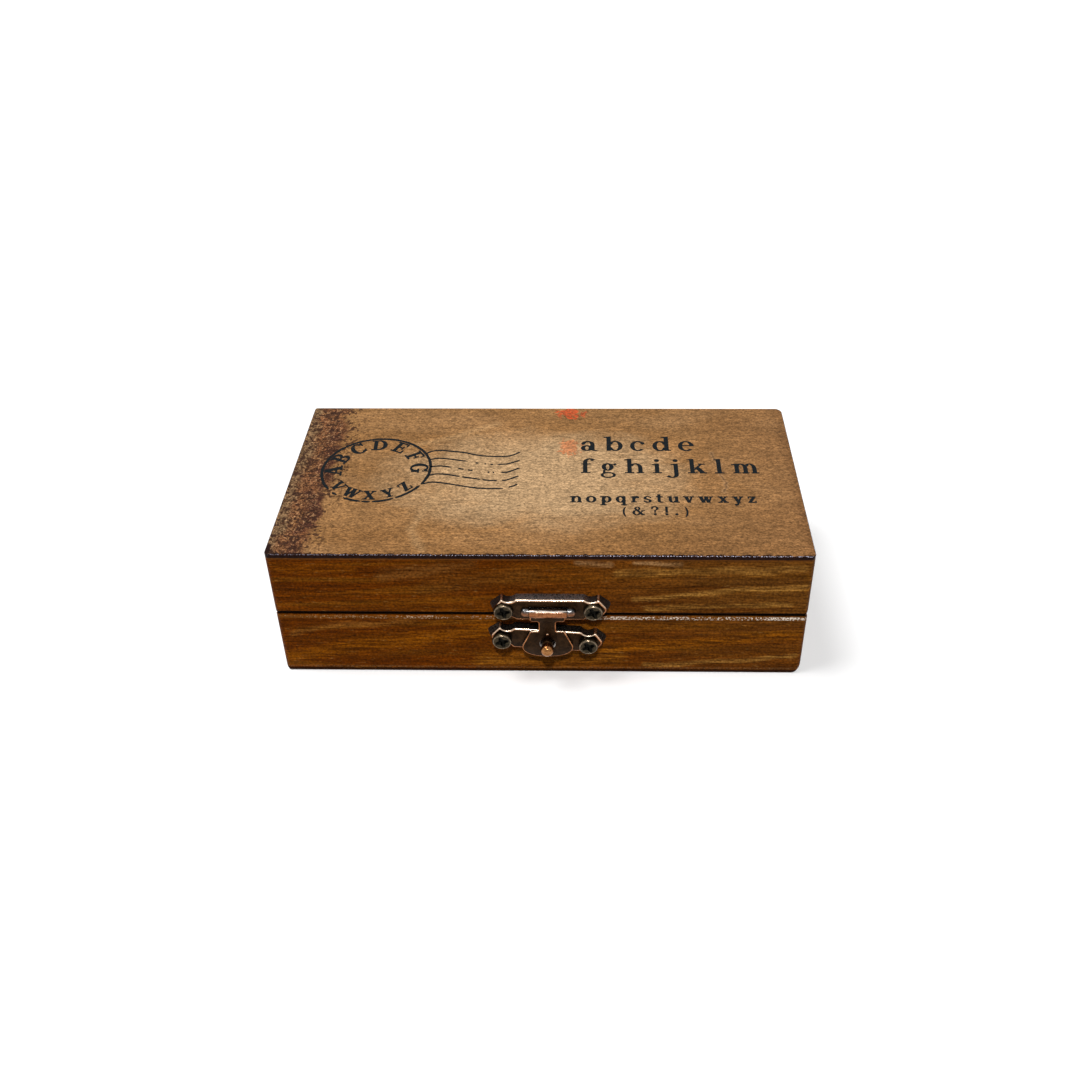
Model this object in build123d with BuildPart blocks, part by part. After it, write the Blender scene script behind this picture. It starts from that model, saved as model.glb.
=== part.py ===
from build123d import *
import os
from math import cos, radians, sin

# Alphabet stamp box: a small hinged wooden box with a pressed metal latch, holding thirty letter stamps
# in three rows. Millimetres. +X is to the right, +Y is towards the hinges and +Z is up. The origin is
# the centre of the underside, which rests on the table.

# Box
box_length = 125.0
box_depth = 62.0
base_height = 18.7
lid_height = 17.7
rim_gap = 0.2
wall = 5.0
top_panel_thickness = 1.5
bottom_panel_thickness = 1.2

# Sanded edges of the box
corner_round = 1.3
lid_back_right_round = 2.5
base_rim_round = 1.0
lid_rim_round = 0.6
lid_left_round = 0.8
lid_right_round = 1.3
lid_top_round = 0.35
base_left_round = 1.8
base_right_round = 3.4
base_under_round = 0.5

# Stamps
stamp_columns = 10
stamp_gap = 0.2
stamp_side_clearance = 0.6
stamp_front_clearance = 1.45
stamp_back_clearance = 0.35
stamp_headroom = 6.5
stamp_edge_chamfer = 0.4
cushion_thickness = 3.0
cushion_inset = 0.3
die_base_thickness = 1.4
die_relief = 1.0
die_inset = 0.6
letter_unit = 1.2
letter_stroke = 1.0
letter_dot_radius = 0.75
letter_middle = 2

# Letters of the dies, in letter units: x runs from 0 to 4, y from -2 at the tails over 0 at the line to 6.
# Two numbers are a dot's centre, four are a line's ends, and five are an arc's centre, radius, start angle
# and sweep.
bowl = (2, 2, 1.7, 0, 360)
arch = (2, 2.2, 1.6, 180, -180)
letters = {
    "a": [bowl, (3.7, 3.7, 3.7, 0.2)],
    "b": [bowl, (0.3, 6, 0.3, 0.2)],
    "c": [(2, 2, 1.7, 45, 270)],
    "d": [bowl, (3.7, 6, 3.7, 0.2)],
    "e": [(2, 2, 1.7, 0, 310), (0.3, 2, 3.7, 2)],
    "f": [(1.7, 0.2, 1.7, 4.8), (2.9, 4.8, 1.2, 180, -110), (0.7, 3.7, 2.9, 3.7)],
    "g": [bowl, (3.7, 3.7, 3.7, -0.3), (2, -0.3, 1.7, 0, -140)],
    "h": [(0.4, 0.2, 0.4, 6), arch, (3.6, 2.2, 3.6, 0.2)],
    "i": [(2, 0.2, 2, 3.7), (2, 5.3)],
    "j": [(2.6, 3.7, 2.6, -0.8), (1.4, -0.8, 1.2, 0, -110), (2.6, 5.3)],
    "k": [(0.6, 0.2, 0.6, 6), (3.4, 3.7, 0.6, 1.5), (1.8, 2.4, 3.6, 0.2)],
    "l": [(2, 0.2, 2, 6)],
    "m": [
        (0, 0.2, 0, 3.7),
        (1, 2.7, 1, 180, -180),
        (2, 2.7, 2, 0.2),
        (3, 2.7, 1, 180, -180),
        (4, 2.7, 4, 0.2),
    ],
    "n": [(0.4, 0.2, 0.4, 3.7), arch, (3.6, 2.2, 3.6, 0.2)],
    "o": [bowl],
    "p": [bowl, (0.3, 3.7, 0.3, -2)],
    "q": [bowl, (3.7, 3.7, 3.7, -2)],
    "r": [(0.8, 0.2, 0.8, 3.7), (2.4, 2.2, 1.6, 180, -130)],
    "s": [(2, 2.8, 0.9, 20, 250), (2, 1, 0.9, 90, -250)],
    "t": [(1.8, 5.3, 1.8, 1.4), (3, 1.4, 1.2, 180, 110), (0.7, 3.7, 3.1, 3.7)],
    "u": [(0.4, 3.7, 0.4, 1.7), (2, 1.7, 1.6, 180, 180), (3.6, 3.7, 3.6, 0.2)],
    "v": [(0.4, 3.7, 2, 0.2), (2, 0.2, 3.6, 3.7)],
    "w": [(-0.2, 3.7, 0.9, 0.2), (0.9, 0.2, 2, 3.3), (2, 3.3, 3.1, 0.2), (3.1, 0.2, 4.2, 3.7)],
    "x": [(0.4, 3.7, 3.6, 0.2), (3.6, 3.7, 0.4, 0.2)],
    "y": [(0.4, 3.7, 2.1, 0.3), (3.6, 3.7, 1.2, -1.8)],
    "z": [(0.5, 3.7, 3.5, 3.7), (3.5, 3.7, 0.5, 0.2), (0.5, 0.2, 3.5, 0.2)],
    "ampersand": [
        (1.8, 4.7, 0.95, 0, 360),
        (1.6, 1.5, 1.35, 110, 250),
        (1.15, 3.9, 3.8, 0.2),
        (2.95, 1.5, 3.6, 2.6),
    ],
    "question_mark": [(2, 4.5, 1.3, 170, -215), (2.92, 3.58, 2, 2.5), (2, 2.5, 2, 1.8), (2, 0.3)],
    "exclamation_mark": [(2, 6, 2, 1.8), (2, 0.3)],
    "full_stop": [(2, 0.3)],
}

# Latch plates, pressed from sheet
plate_length = 26.8
plate_height = 6.0
plate_depth = 2.4
plate_sheet = 0.5
plate_tip_flare = 1.0
plate_tip_bevel = 2.2
plate_dip_width = 3.3
plate_dip = 0.8
plate_edge_round = 0.3
upper_plate_x = 2.4
upper_plate_above_rim = 0.4
lower_plate_x = 1.5
latch_pitch = 9.4
lower_plate_tilt = -4.5

# Latch screws
screw_spacing = 20.8
screw_head_radius = 2.1
screw_head_height = 1.1
screw_head_dome = 0.75      # share of a head's height that is rounded
screw_shank_radius = 0.85
screw_seat_depth = 0.2
screw_seat_clearance = 0.25
screw_hole_clearance = 0.35
screw_tip_cover = 1.2
screw_tip_length = 1.0
lower_screw_stand = 0.8      # the lower screws are not driven home
recess_length = 2.5
recess_width = 0.7
recess_depth = 0.6
fixed_fit = 0.02

# Latch flap, its pin and the stud that it drops over
flap_x = 1.95
flap_sheet = 0.5
flap_gap = 0.35
flap_pin_radius = 0.45
flap_pin_clearance = 0.05
flap_pin_below_plate_centre = 0.35
flap_curl_wall = 0.7
flap_barrel_length = 8.8
window_clearance = 0.2
flap_shoulder_width = 8.3
flap_shoulder_drop = 2.5
flap_neck_width = 4.3
flap_body_width = 12.1
flap_body_top_width = 7.9
flap_body_above_hole = 3.8
flap_body_below_hole = 4.5
flap_widest_below_hole = 1.1
flap_chin_width = 9.2
flap_chin_above_bottom = 0.75
flap_shoulder_round = 0.7
flap_neck_round = 0.5
flap_side_round = 1.5
flap_chin_round = 6.0
stud_ball_radius = 1.4
stud_neck_step = 0.4
stud_ball_past_flap = 2.65
stud_collar_radius = 1.35
stud_collar_reach = 4.4
stud_collar_round = 0.4
stud_foot_radius = 1.7
stud_foot_thickness = 0.4
stud_tip_flat = 0.15
flap_hole_clearance = 0.55
flap_hole_below_stud = 0.25
ear_radius = 1.1
ear_rise = 0.2
ear_length = 1.9
ear_dome = 0.95
ear_side_gap = 0.1
ear_pin_depth = 1.1

# Butt hinges on the back
hinge_inset = 24.5
hinge_length = 16.0
hinge_leaf_reach = 8.3
hinge_sheet = 0.5
hinge_pin_radius = 0.65
hinge_pin_clearance = 0.05
hinge_wall_gap = 0.1
hinge_knuckle_gap = 0.15
hinge_screw_spacing = 9.0
hinge_screw_reach = 4.8
hinge_screw_head_radius = 1.35
hinge_screw_head_height = 0.45
hinge_screw_shank_radius = 0.6
hinge_recess_length = 1.6
hinge_recess_width = 0.4
hinge_recess_depth = 0.25
hinge_leaf_corner = 0.8

# Places that follow from the sizes above
lid_bottom = base_height + rim_gap
lid_top = lid_bottom + lid_height
lid_underside = lid_top - top_panel_thickness
parting_z = base_height + rim_gap / 2
inner_length = box_length - 2 * wall
inner_depth = box_depth - 2 * wall
front_y = -box_depth / 2
back_y = box_depth / 2
front_face = Plane(origin=(0, front_y, 0), x_dir=(1, 0, 0), z_dir=(0, -1, 0))
back_face = Plane(origin=(0, back_y, 0), x_dir=(-1, 0, 0), z_dir=(0, 1, 0))

upper_plate_z = parting_z + plate_height / 2 + upper_plate_above_rim
lower_plate_z = upper_plate_z - latch_pitch
upper_seat = Plane(origin=(upper_plate_x, front_y, upper_plate_z), x_dir=(1, 0, 0), z_dir=(0, -1, 0))
lower_seat = Plane(
    origin=(lower_plate_x, front_y, lower_plate_z),
    x_dir=(cos(radians(lower_plate_tilt)), 0, sin(radians(lower_plate_tilt))),
    z_dir=(0, -1, 0),
)
screw_places = [(-screw_spacing / 2, 0), (screw_spacing / 2, 0)]
screw_seat_height = plate_depth - screw_seat_depth
screw_shank_length = screw_seat_height + wall - screw_tip_cover

flap_pin_z = upper_plate_z - flap_pin_below_plate_centre
flap_barrel_radius = flap_pin_radius + flap_pin_clearance + flap_curl_wall
flap_back = plate_depth + flap_gap
flap_pin_reach = flap_back + flap_sheet / 2
stud_radius = stud_ball_radius - stud_neck_step
stud_reach = flap_back + flap_sheet + stud_ball_past_flap + stud_ball_radius
stud_x = flap_x
stud_z = lower_plate_z + (stud_x - lower_plate_x) * sin(radians(lower_plate_tilt))
flap_hole_z = stud_z - flap_hole_below_stud
flap_hole_radius = stud_ball_radius + flap_hole_clearance
ear_start = flap_barrel_length / 2 + ear_side_gap

hinge_barrel_radius = hinge_pin_radius + hinge_pin_clearance + hinge_sheet
hinge_y = back_y + hinge_wall_gap + hinge_barrel_radius
hinge_shank_length = wall - screw_tip_cover
knuckle_length = (hinge_length - 2 * hinge_knuckle_gap) / 3
knuckle_pitch = knuckle_length + hinge_knuckle_gap
hinge_sides = {"left": hinge_inset - box_length / 2, "right": box_length / 2 - hinge_inset}


def finish(part, name):
    """Labels a finished piece and writes it."""
    part.label = name
    export_step(part, f"parts/{name}.step")


def rounded_box(plan, low_z, high_z, left, right, under, over):
    """The box's outer form between two heights, with its sanded edges, for the walls to be cut from.

    plan is the outline from above, left and right are the rounds of the lower end edges, and under and
    over those of the other rims."""
    middle = (low_z + high_z) / 2
    height = high_z - low_z
    with BuildPart() as form:
        with BuildSketch(Plane.XY.offset(low_z)):
            add(plan)
        extrude(amount=height)
        with BuildSketch(Plane.XZ) as front_view:
            with Locations((0, middle)):
                Rectangle(box_length, height)
            fillet(front_view.vertices().group_by(Axis.Y)[-1], over)
            fillet(front_view.vertices().group_by(Axis.Y)[0].sort_by(Axis.X)[0], left)
            fillet(front_view.vertices().group_by(Axis.Y)[0].sort_by(Axis.X)[-1], right)
        extrude(amount=box_depth, both=True, mode=Mode.INTERSECT)
        with BuildSketch(Plane.YZ) as end_view:
            with Locations((0, middle)):
                Rectangle(box_depth, height)
            fillet(end_view.vertices().group_by(Axis.Y)[0], under)
            fillet(end_view.vertices().group_by(Axis.Y)[-1], over)
        extrude(amount=box_length, both=True, mode=Mode.INTERSECT)
    return form.part


def board(x, y, length, depth, low_z, high_z, form):
    """A board of the box, kept inside the box's sanded outer form. Used inside a part."""
    with Locations((x, y, (low_z + high_z) / 2)):
        Box(length, depth, high_z - low_z)
    add(form, mode=Mode.INTERSECT)


def pilot_holes(face, places, radius, depth):
    """Holes for screws, from a face into the wood behind it. Used inside a part."""
    with Locations(face):
        with Locations(*places):
            Hole(radius=radius, depth=depth)


def plate_outline(tip, inset):
    """The latch plate's outline, with a point at each end and a dip beside each corner."""
    half = plate_height / 2
    corner = plate_length / 2 - plate_tip_bevel
    dip_end = corner - plate_dip_width
    with BuildSketch(Plane.XY) as outline:
        with BuildLine():
            Line((tip, 0), (corner, half))
            ThreePointArc((corner, half), ((corner + dip_end) / 2, half - plate_dip), (dip_end, half))
            Line((dip_end, half), (0, half))
            mirror(about=Plane.YZ)
            mirror(about=Plane.XZ)
        make_face()
        if inset:
            offset(amount=-inset, kind=Kind.INTERSECTION, mode=Mode.REPLACE)
    return outline.sketch


def pressed_pan(seat):
    """A pan pressed from sheet, open towards the wood, with a seat and a hole for each screw."""
    with BuildPart() as pan:
        for inset, mode in ((0, Mode.ADD), (plate_sheet, Mode.SUBTRACT)):
            with BuildSketch(seat):
                add(plate_outline(plate_length / 2 + plate_tip_flare, inset))
            with BuildSketch(seat.offset(plate_depth - inset)):
                add(plate_outline(plate_length / 2, inset))
            loft(ruled=True, mode=mode)
            if not inset:
                fillet(faces().sort_by(Axis.Y)[0].edges(), plate_edge_round)
        with Locations(seat.offset(plate_depth)):
            with Locations(*screw_places):
                CounterBoreHole(
                    radius=screw_shank_radius + screw_hole_clearance,
                    counter_bore_radius=screw_head_radius + screw_seat_clearance,
                    counter_bore_depth=screw_seat_depth,
                    depth=plate_depth,
                )
    return pan.part


def ear_plane(end, reach):
    """The inner face of the ear at one end of the flap's barrel, facing outwards, at a reach off the wood."""
    place = (flap_x + end * ear_start, front_y - reach, flap_pin_z)
    return Plane(origin=place, x_dir=(0, 1, 0), z_dir=(end, 0, 0))


def pin_ear(end):
    """A half-round ear, pressed out of the upper plate's face, that holds one end of the flap's pin."""
    with BuildPart() as ear:
        with BuildSketch(ear_plane(end, plate_depth + ear_rise)):
            Circle(ear_radius)
        extrude(amount=ear_length)
        fillet(faces().sort_by(Axis.X)[-1 if end > 0 else 0].edges(), ear_dome)
        split(bisect_by=front_face.offset(plate_depth - plate_sheet / 2), keep=Keep.TOP)
    return ear.part


def screw(head_radius, head_height, shank_radius, shank_length, cross):
    """A pan head wood screw along Z. Its head sits on Z = 0 and its shank points down."""
    cross_length, cross_width, cross_depth = cross
    with BuildPart() as body:
        with BuildSketch(Plane.XZ):
            with BuildLine():
                FilletPolyline(
                    (0, head_height),
                    (head_radius, head_height),
                    (head_radius, 0),
                    (shank_radius, 0),
                    (shank_radius, screw_tip_length - shank_length),
                    (0, -shank_length),
                    radius=[head_height * screw_head_dome, 0, 0, 0],
                )
                Line((0, -shank_length), (0, head_height))
            make_face()
        revolve(axis=Axis.Z)
        with BuildSketch(Plane.XY.offset(head_height - cross_depth)):
            Rectangle(cross_length, cross_width)
            Rectangle(cross_width, cross_length)
        extrude(amount=cross_depth, mode=Mode.SUBTRACT)
    return body.part


def place_all(shape, seat, places):
    """Adds a copy of a shape at each place on a seat. Used inside a part."""
    with Locations(seat):
        with Locations(*places):
            add(shape)


def flap_outline():
    """Half of the flap is drawn from the pin down to the middle of its lower edge, and then mirrored."""
    hole_drop = flap_pin_z - flap_hole_z
    body_top = -hole_drop + flap_body_above_hole
    bottom = -hole_drop - flap_body_below_hole
    chin = bottom + flap_chin_above_bottom
    with BuildSketch(Plane.XY) as outline:
        with BuildLine():
            FilletPolyline(
                (0, 0),
                (flap_shoulder_width / 2, 0),
                (flap_shoulder_width / 2, -flap_shoulder_drop),
                (flap_neck_width / 2, -flap_shoulder_drop),
                (flap_neck_width / 2, body_top),
                (flap_body_top_width / 2, body_top),
                (flap_body_width / 2, -hole_drop - flap_widest_below_hole),
                (flap_chin_width / 2, chin),
                (flap_neck_width / 2, bottom),
                (0, bottom),
                radius=[
                    0,
                    flap_shoulder_round,
                    flap_neck_round,
                    flap_neck_round / 2,
                    flap_shoulder_round,
                    flap_side_round,
                    flap_side_round,
                    flap_chin_round,
                ],
            )
            Line((0, bottom), (0, 0))
        make_face()
        mirror(about=Plane.YZ)
    return outline.sketch


def hinge_leaf(centre_x, side, knuckles, bore):
    """One leaf with its knuckles. side is -1 for the base's leaf, below the pin, and 1 for the lid's."""
    pin_axis = Plane(origin=(centre_x, hinge_y, parting_z), x_dir=(0, 1, 0), z_dir=(1, 0, 0))
    sheet_start = hinge_barrel_radius + hinge_knuckle_gap
    sheet_height = hinge_leaf_reach - sheet_start
    with BuildPart() as leaf:
        with BuildSketch(back_face):
            with Locations((-centre_x, parting_z + side * (sheet_start + sheet_height / 2))):
                Rectangle(hinge_length, sheet_height)
        extrude(amount=hinge_sheet)
        fillet(edges().filter_by(Axis.Y).group_by(Axis.Z)[-1 if side > 0 else 0], hinge_leaf_corner)
        for knuckle in knuckles:
            with BuildSketch(back_face):
                with Locations((-centre_x - knuckle * knuckle_pitch, parting_z + side * sheet_start / 2)):
                    Rectangle(knuckle_length, sheet_start)
            extrude(amount=hinge_sheet)
            with BuildSketch(pin_axis.offset(knuckle * knuckle_pitch)):
                Circle(hinge_barrel_radius)
            extrude(amount=knuckle_length / 2, both=True)
        with BuildSketch(pin_axis):
            Circle(bore)
        extrude(amount=hinge_length, both=True, mode=Mode.SUBTRACT)
        with Locations(back_face.offset(hinge_sheet)):
            with Locations(*hinge_screw_places(centre_x, side)):
                Hole(radius=hinge_screw_shank_radius + fixed_fit, depth=hinge_sheet)
    return leaf.part


def hinge_screw_places(centre_x, side):
    """A leaf's two screws, on the back face, where x runs the other way."""
    height = parting_z + side * hinge_screw_reach
    return [(-centre_x + end * hinge_screw_spacing / 2, height) for end in (-1, 1)]


def letter_point(x, y):
    """A point of the letter grid, measured from the middle of the letter's cell."""
    return ((x - letter_middle) * letter_unit, (y - letter_middle) * letter_unit)


def letter_lines(stroke):
    """A stroke's lines, with an arc of more than half a turn in two."""
    if len(stroke) == 4:
        with BuildLine() as lines:
            Line(letter_point(*stroke[:2]), letter_point(*stroke[2:]))
        return lines.edges()
    x, y, radius, start, sweep = stroke
    with BuildLine() as lines:
        for half in (0, 1):
            CenterArc(letter_point(x, y), radius * letter_unit, start + half * sweep / 2, sweep / 2)
    return lines.edges()


def letter_face(strokes):
    """A letter with round-ended strokes."""
    with BuildSketch(Plane.XY) as face:
        for stroke in strokes:
            if len(stroke) == 2:
                with Locations(letter_point(*stroke)):
                    Circle(letter_dot_radius)
                continue
            for edge in letter_lines(stroke):
                trace(edge, line_width=letter_stroke)
                with Locations(edge @ 0, edge @ 1):
                    Circle(letter_stroke / 2)
    return face.sketch


def stamp_centres():
    """The places of the stamps, row by row from the back left, as on a page."""
    rows = -(-len(letters) // stamp_columns)
    width = (inner_length - 2 * stamp_side_clearance - (stamp_columns - 1) * stamp_gap) / stamp_columns
    free_depth = inner_depth - stamp_front_clearance - stamp_back_clearance
    depth = (free_depth - (rows - 1) * stamp_gap) / rows
    left = -inner_length / 2 + stamp_side_clearance + width / 2
    back = inner_depth / 2 - stamp_back_clearance - depth / 2
    places = []
    for number in range(len(letters)):
        row, column = divmod(number, stamp_columns)
        places.append((left + column * (width + stamp_gap), back - row * (depth + stamp_gap)))
    return width, depth, places


os.makedirs("parts", exist_ok=True)

# The two outer forms. The lid's back right corner is rounder than the others
with BuildSketch() as base_plan:
    RectangleRounded(box_length, box_depth, corner_round)

with BuildSketch() as lid_plan:
    Rectangle(box_length, box_depth)
    fillet(lid_plan.vertices().group_by(Axis.X)[-1].sort_by(Axis.Y)[-1], lid_back_right_round)
    fillet(lid_plan.vertices().group_by(Axis.X)[-1].sort_by(Axis.Y)[0], corner_round)
    fillet(lid_plan.vertices().group_by(Axis.X)[0], corner_round)

base_form = rounded_box(
    base_plan.sketch, 0, base_height, base_left_round, base_right_round, base_under_round, base_rim_round
)
lid_form = rounded_box(
    lid_plan.sketch, lid_bottom, lid_top, lid_left_round, lid_right_round, lid_rim_round, lid_top_round
)

wall_y = (box_depth - wall) / 2
wall_x = (box_length - wall) / 2
upper_screw_places = [(upper_plate_x + x, upper_plate_z) for x, _ in screw_places]
lower_screw_places = [
    (
        lower_plate_x + x * cos(radians(lower_plate_tilt)),
        lower_plate_z + x * sin(radians(lower_plate_tilt)),
    )
    for x, _ in screw_places
]
hinge_pilot_radius = hinge_screw_shank_radius + fixed_fit
latch_pilot_radius = screw_shank_radius + fixed_fit
latch_pilot_depth = wall - screw_tip_cover

# Base
with BuildPart() as base_front_wall:
    board(0, -wall_y, box_length, wall, bottom_panel_thickness, base_height, base_form)
    pilot_holes(front_face, lower_screw_places, latch_pilot_radius, latch_pilot_depth)
finish(base_front_wall.part, "base_front_wall")

with BuildPart() as base_back_wall:
    board(0, wall_y, box_length, wall, bottom_panel_thickness, base_height, base_form)
    for centre_x in hinge_sides.values():
        pilot_holes(back_face, hinge_screw_places(centre_x, -1), hinge_pilot_radius, hinge_shank_length)
finish(base_back_wall.part, "base_back_wall")

with BuildPart() as base_left_wall:
    board(-wall_x, 0, wall, inner_depth, bottom_panel_thickness, base_height, base_form)
finish(base_left_wall.part, "base_left_wall")

with BuildPart() as base_right_wall:
    board(wall_x, 0, wall, inner_depth, bottom_panel_thickness, base_height, base_form)
finish(base_right_wall.part, "base_right_wall")

with BuildPart() as base_bottom_panel:
    board(0, 0, box_length, box_depth, 0, bottom_panel_thickness, base_form)
finish(base_bottom_panel.part, "base_bottom_panel")

# Lid
with BuildPart() as lid_front_wall:
    board(0, -wall_y, box_length, wall, lid_bottom, lid_underside, lid_form)
    pilot_holes(front_face, upper_screw_places, latch_pilot_radius, latch_pilot_depth)
finish(lid_front_wall.part, "lid_front_wall")

with BuildPart() as lid_back_wall:
    board(0, wall_y, box_length, wall, lid_bottom, lid_underside, lid_form)
    for centre_x in hinge_sides.values():
        pilot_holes(back_face, hinge_screw_places(centre_x, 1), hinge_pilot_radius, hinge_shank_length)
finish(lid_back_wall.part, "lid_back_wall")

with BuildPart() as lid_left_wall:
    board(-wall_x, 0, wall, inner_depth, lid_bottom, lid_underside, lid_form)
finish(lid_left_wall.part, "lid_left_wall")

with BuildPart() as lid_right_wall:
    board(wall_x, 0, wall, inner_depth, lid_bottom, lid_underside, lid_form)
finish(lid_right_wall.part, "lid_right_wall")

with BuildPart() as lid_top_panel:
    board(0, 0, box_length, box_depth, lid_underside, lid_top, lid_form)
finish(lid_top_panel.part, "lid_top_panel")

# Hinges: the base's leaf has the two outer knuckles and holds the pin, and the lid's leaf turns on it
hinge_screw = screw(
    hinge_screw_head_radius,
    hinge_screw_head_height,
    hinge_screw_shank_radius,
    hinge_sheet + hinge_shank_length,
    (hinge_recess_length, hinge_recess_width, hinge_recess_depth),
)

for side_name, centre_x in hinge_sides.items():
    with BuildPart() as base_leaf:
        add(hinge_leaf(centre_x, -1, (-1, 1), hinge_pin_radius + fixed_fit))
    finish(base_leaf.part, f"{side_name}_hinge_base_leaf")

    with BuildPart() as lid_leaf:
        add(hinge_leaf(centre_x, 1, (0,), hinge_pin_radius + hinge_pin_clearance))
    finish(lid_leaf.part, f"{side_name}_hinge_lid_leaf")

    with BuildPart() as hinge_pin:
        with BuildSketch(Plane(origin=(centre_x, hinge_y, parting_z), x_dir=(0, 1, 0), z_dir=(1, 0, 0))):
            Circle(hinge_pin_radius)
        extrude(amount=hinge_length / 2, both=True)
    finish(hinge_pin.part, f"{side_name}_hinge_pin")

with BuildPart() as hinge_base_screws:
    for centre_x in hinge_sides.values():
        place_all(hinge_screw, back_face.offset(hinge_sheet), hinge_screw_places(centre_x, -1))
finish(hinge_base_screws.part, "hinge_base_screws")

with BuildPart() as hinge_lid_screws:
    for centre_x in hinge_sides.values():
        place_all(hinge_screw, back_face.offset(hinge_sheet), hinge_screw_places(centre_x, 1))
finish(hinge_lid_screws.part, "hinge_lid_screws")

# Latch plates
with BuildPart() as latch_upper_plate:
    add(pressed_pan(upper_seat))
    with BuildSketch(upper_seat.offset(plate_depth)):
        with Locations((flap_x - upper_plate_x, flap_pin_z - upper_plate_z)):
            Rectangle(2 * ear_start, 2 * (flap_barrel_radius + window_clearance))
    extrude(amount=-plate_depth, mode=Mode.SUBTRACT)
    for end in (-1, 1):
        add(pin_ear(end))
        with BuildSketch(ear_plane(end, flap_pin_reach)):
            Circle(flap_pin_radius + fixed_fit)
        extrude(amount=ear_pin_depth, mode=Mode.SUBTRACT)
finish(latch_upper_plate.part, "latch_upper_plate")

with BuildPart() as latch_lower_plate:
    add(pressed_pan(lower_seat))
    pilot_holes(
        front_face.offset(plate_depth),
        [(stud_x, stud_z)],
        stud_radius + fixed_fit,
        plate_depth,
    )
finish(latch_lower_plate.part, "latch_lower_plate")

# The stud is riveted through the lower plate, with its foot behind the sheet
with BuildPart() as latch_stud:
    foot_front = plate_depth - plate_sheet
    ball_centre = stud_reach - stud_ball_radius
    stud_plane = Plane(origin=(stud_x, front_y, stud_z), x_dir=(1, 0, 0), z_dir=(0, -1, 0))
    with BuildSketch(stud_plane.offset(foot_front - stud_foot_thickness)):
        Circle(stud_foot_radius)
    extrude(amount=stud_foot_thickness)
    with BuildSketch(stud_plane.offset(plate_depth)):
        Circle(stud_collar_radius)
    extrude(amount=stud_collar_reach - plate_depth)
    fillet(faces().sort_by(Axis.Y)[0].edges(), stud_collar_round)
    with BuildSketch(stud_plane.offset(foot_front)):
        Circle(stud_radius)
    extrude(amount=ball_centre - foot_front)
    with Locations(stud_plane.offset(ball_centre)):
        Sphere(stud_ball_radius)
    split(bisect_by=stud_plane.offset(stud_reach - stud_tip_flat), keep=Keep.BOTTOM)
finish(latch_stud.part, "latch_stud")

latch_screw = screw(
    screw_head_radius,
    screw_head_height,
    screw_shank_radius,
    screw_shank_length,
    (recess_length, recess_width, recess_depth),
)

with BuildPart() as latch_upper_screws:
    place_all(latch_screw, upper_seat.offset(screw_seat_height), screw_places)
finish(latch_upper_screws.part, "latch_upper_screws")

with BuildPart() as latch_lower_screws:
    place_all(latch_screw, lower_seat.offset(screw_seat_height + lower_screw_stand), screw_places)
finish(latch_lower_screws.part, "latch_lower_screws")

# The flap hangs on its pin, and the stud stands through its hole
flap_back_face = Plane(
    origin=(flap_x, front_y - flap_back, flap_pin_z),
    x_dir=(1, 0, 0),
    z_dir=(0, -1, 0),
)
flap_axis = Plane(origin=(flap_x, front_y - flap_pin_reach, flap_pin_z), x_dir=(0, 1, 0), z_dir=(1, 0, 0))

with BuildPart() as latch_flap:
    with BuildSketch(flap_back_face):
        add(flap_outline())
        with Locations((0, flap_hole_z - flap_pin_z)):
            Circle(flap_hole_radius, mode=Mode.SUBTRACT)
    extrude(amount=flap_sheet)
    with BuildSketch(flap_axis):
        Circle(flap_barrel_radius)
    extrude(amount=flap_barrel_length / 2, both=True)
    with BuildSketch(flap_axis):
        Circle(flap_pin_radius + flap_pin_clearance)
    extrude(amount=flap_barrel_length, both=True, mode=Mode.SUBTRACT)
finish(latch_flap.part, "latch_flap")

with BuildPart() as latch_flap_pin:
    with BuildSketch(flap_axis):
        Circle(flap_pin_radius)
    extrude(amount=ear_start + ear_pin_depth, both=True)
finish(latch_flap_pin.part, "latch_flap_pin")

# Stamps: a wooden block, a foam cushion under it and a rubber die under that
stamp_width, stamp_depth, stamp_places = stamp_centres()
cushion_bottom = bottom_panel_thickness + die_relief + die_base_thickness
block_bottom = cushion_bottom + cushion_thickness
block_top = lid_underside - stamp_headroom

for stamp_name, place in zip(letters, stamp_places):
    with BuildPart() as stamp_block:
        with BuildSketch(Plane.XY.offset(block_bottom)):
            with Locations(place):
                Rectangle(stamp_width, stamp_depth)
        extrude(amount=block_top - block_bottom)
        chamfer(faces().sort_by(Axis.Z)[-1].edges(), stamp_edge_chamfer)
    finish(stamp_block.part, f"stamp_{stamp_name}")

with BuildPart() as stamp_cushions:
    with BuildSketch(Plane.XY.offset(cushion_bottom)):
        with Locations(*stamp_places):
            Rectangle(stamp_width - 2 * cushion_inset, stamp_depth - 2 * cushion_inset)
    extrude(amount=cushion_thickness)
finish(stamp_cushions.part, "stamp_cushions")

die_bottom = bottom_panel_thickness + die_relief

with BuildPart() as stamp_dies:
    with BuildSketch(Plane.XY.offset(die_bottom)):
        with Locations(*stamp_places):
            Rectangle(stamp_width - 2 * die_inset, stamp_depth - 2 * die_inset)
    extrude(amount=die_base_thickness)
    with BuildSketch(Plane.XY.offset(die_bottom)):
        for strokes, place in zip(letters.values(), stamp_places):
            with Locations(place):
                add(letter_face(strokes))
    extrude(amount=-die_relief)
finish(stamp_dies.part, "stamp_dies")
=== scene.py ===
import math
import random

import bmesh
import bpy
from mathutils import Matrix, Vector
from mathutils.geometry import delaunay_2d_cdt


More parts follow.
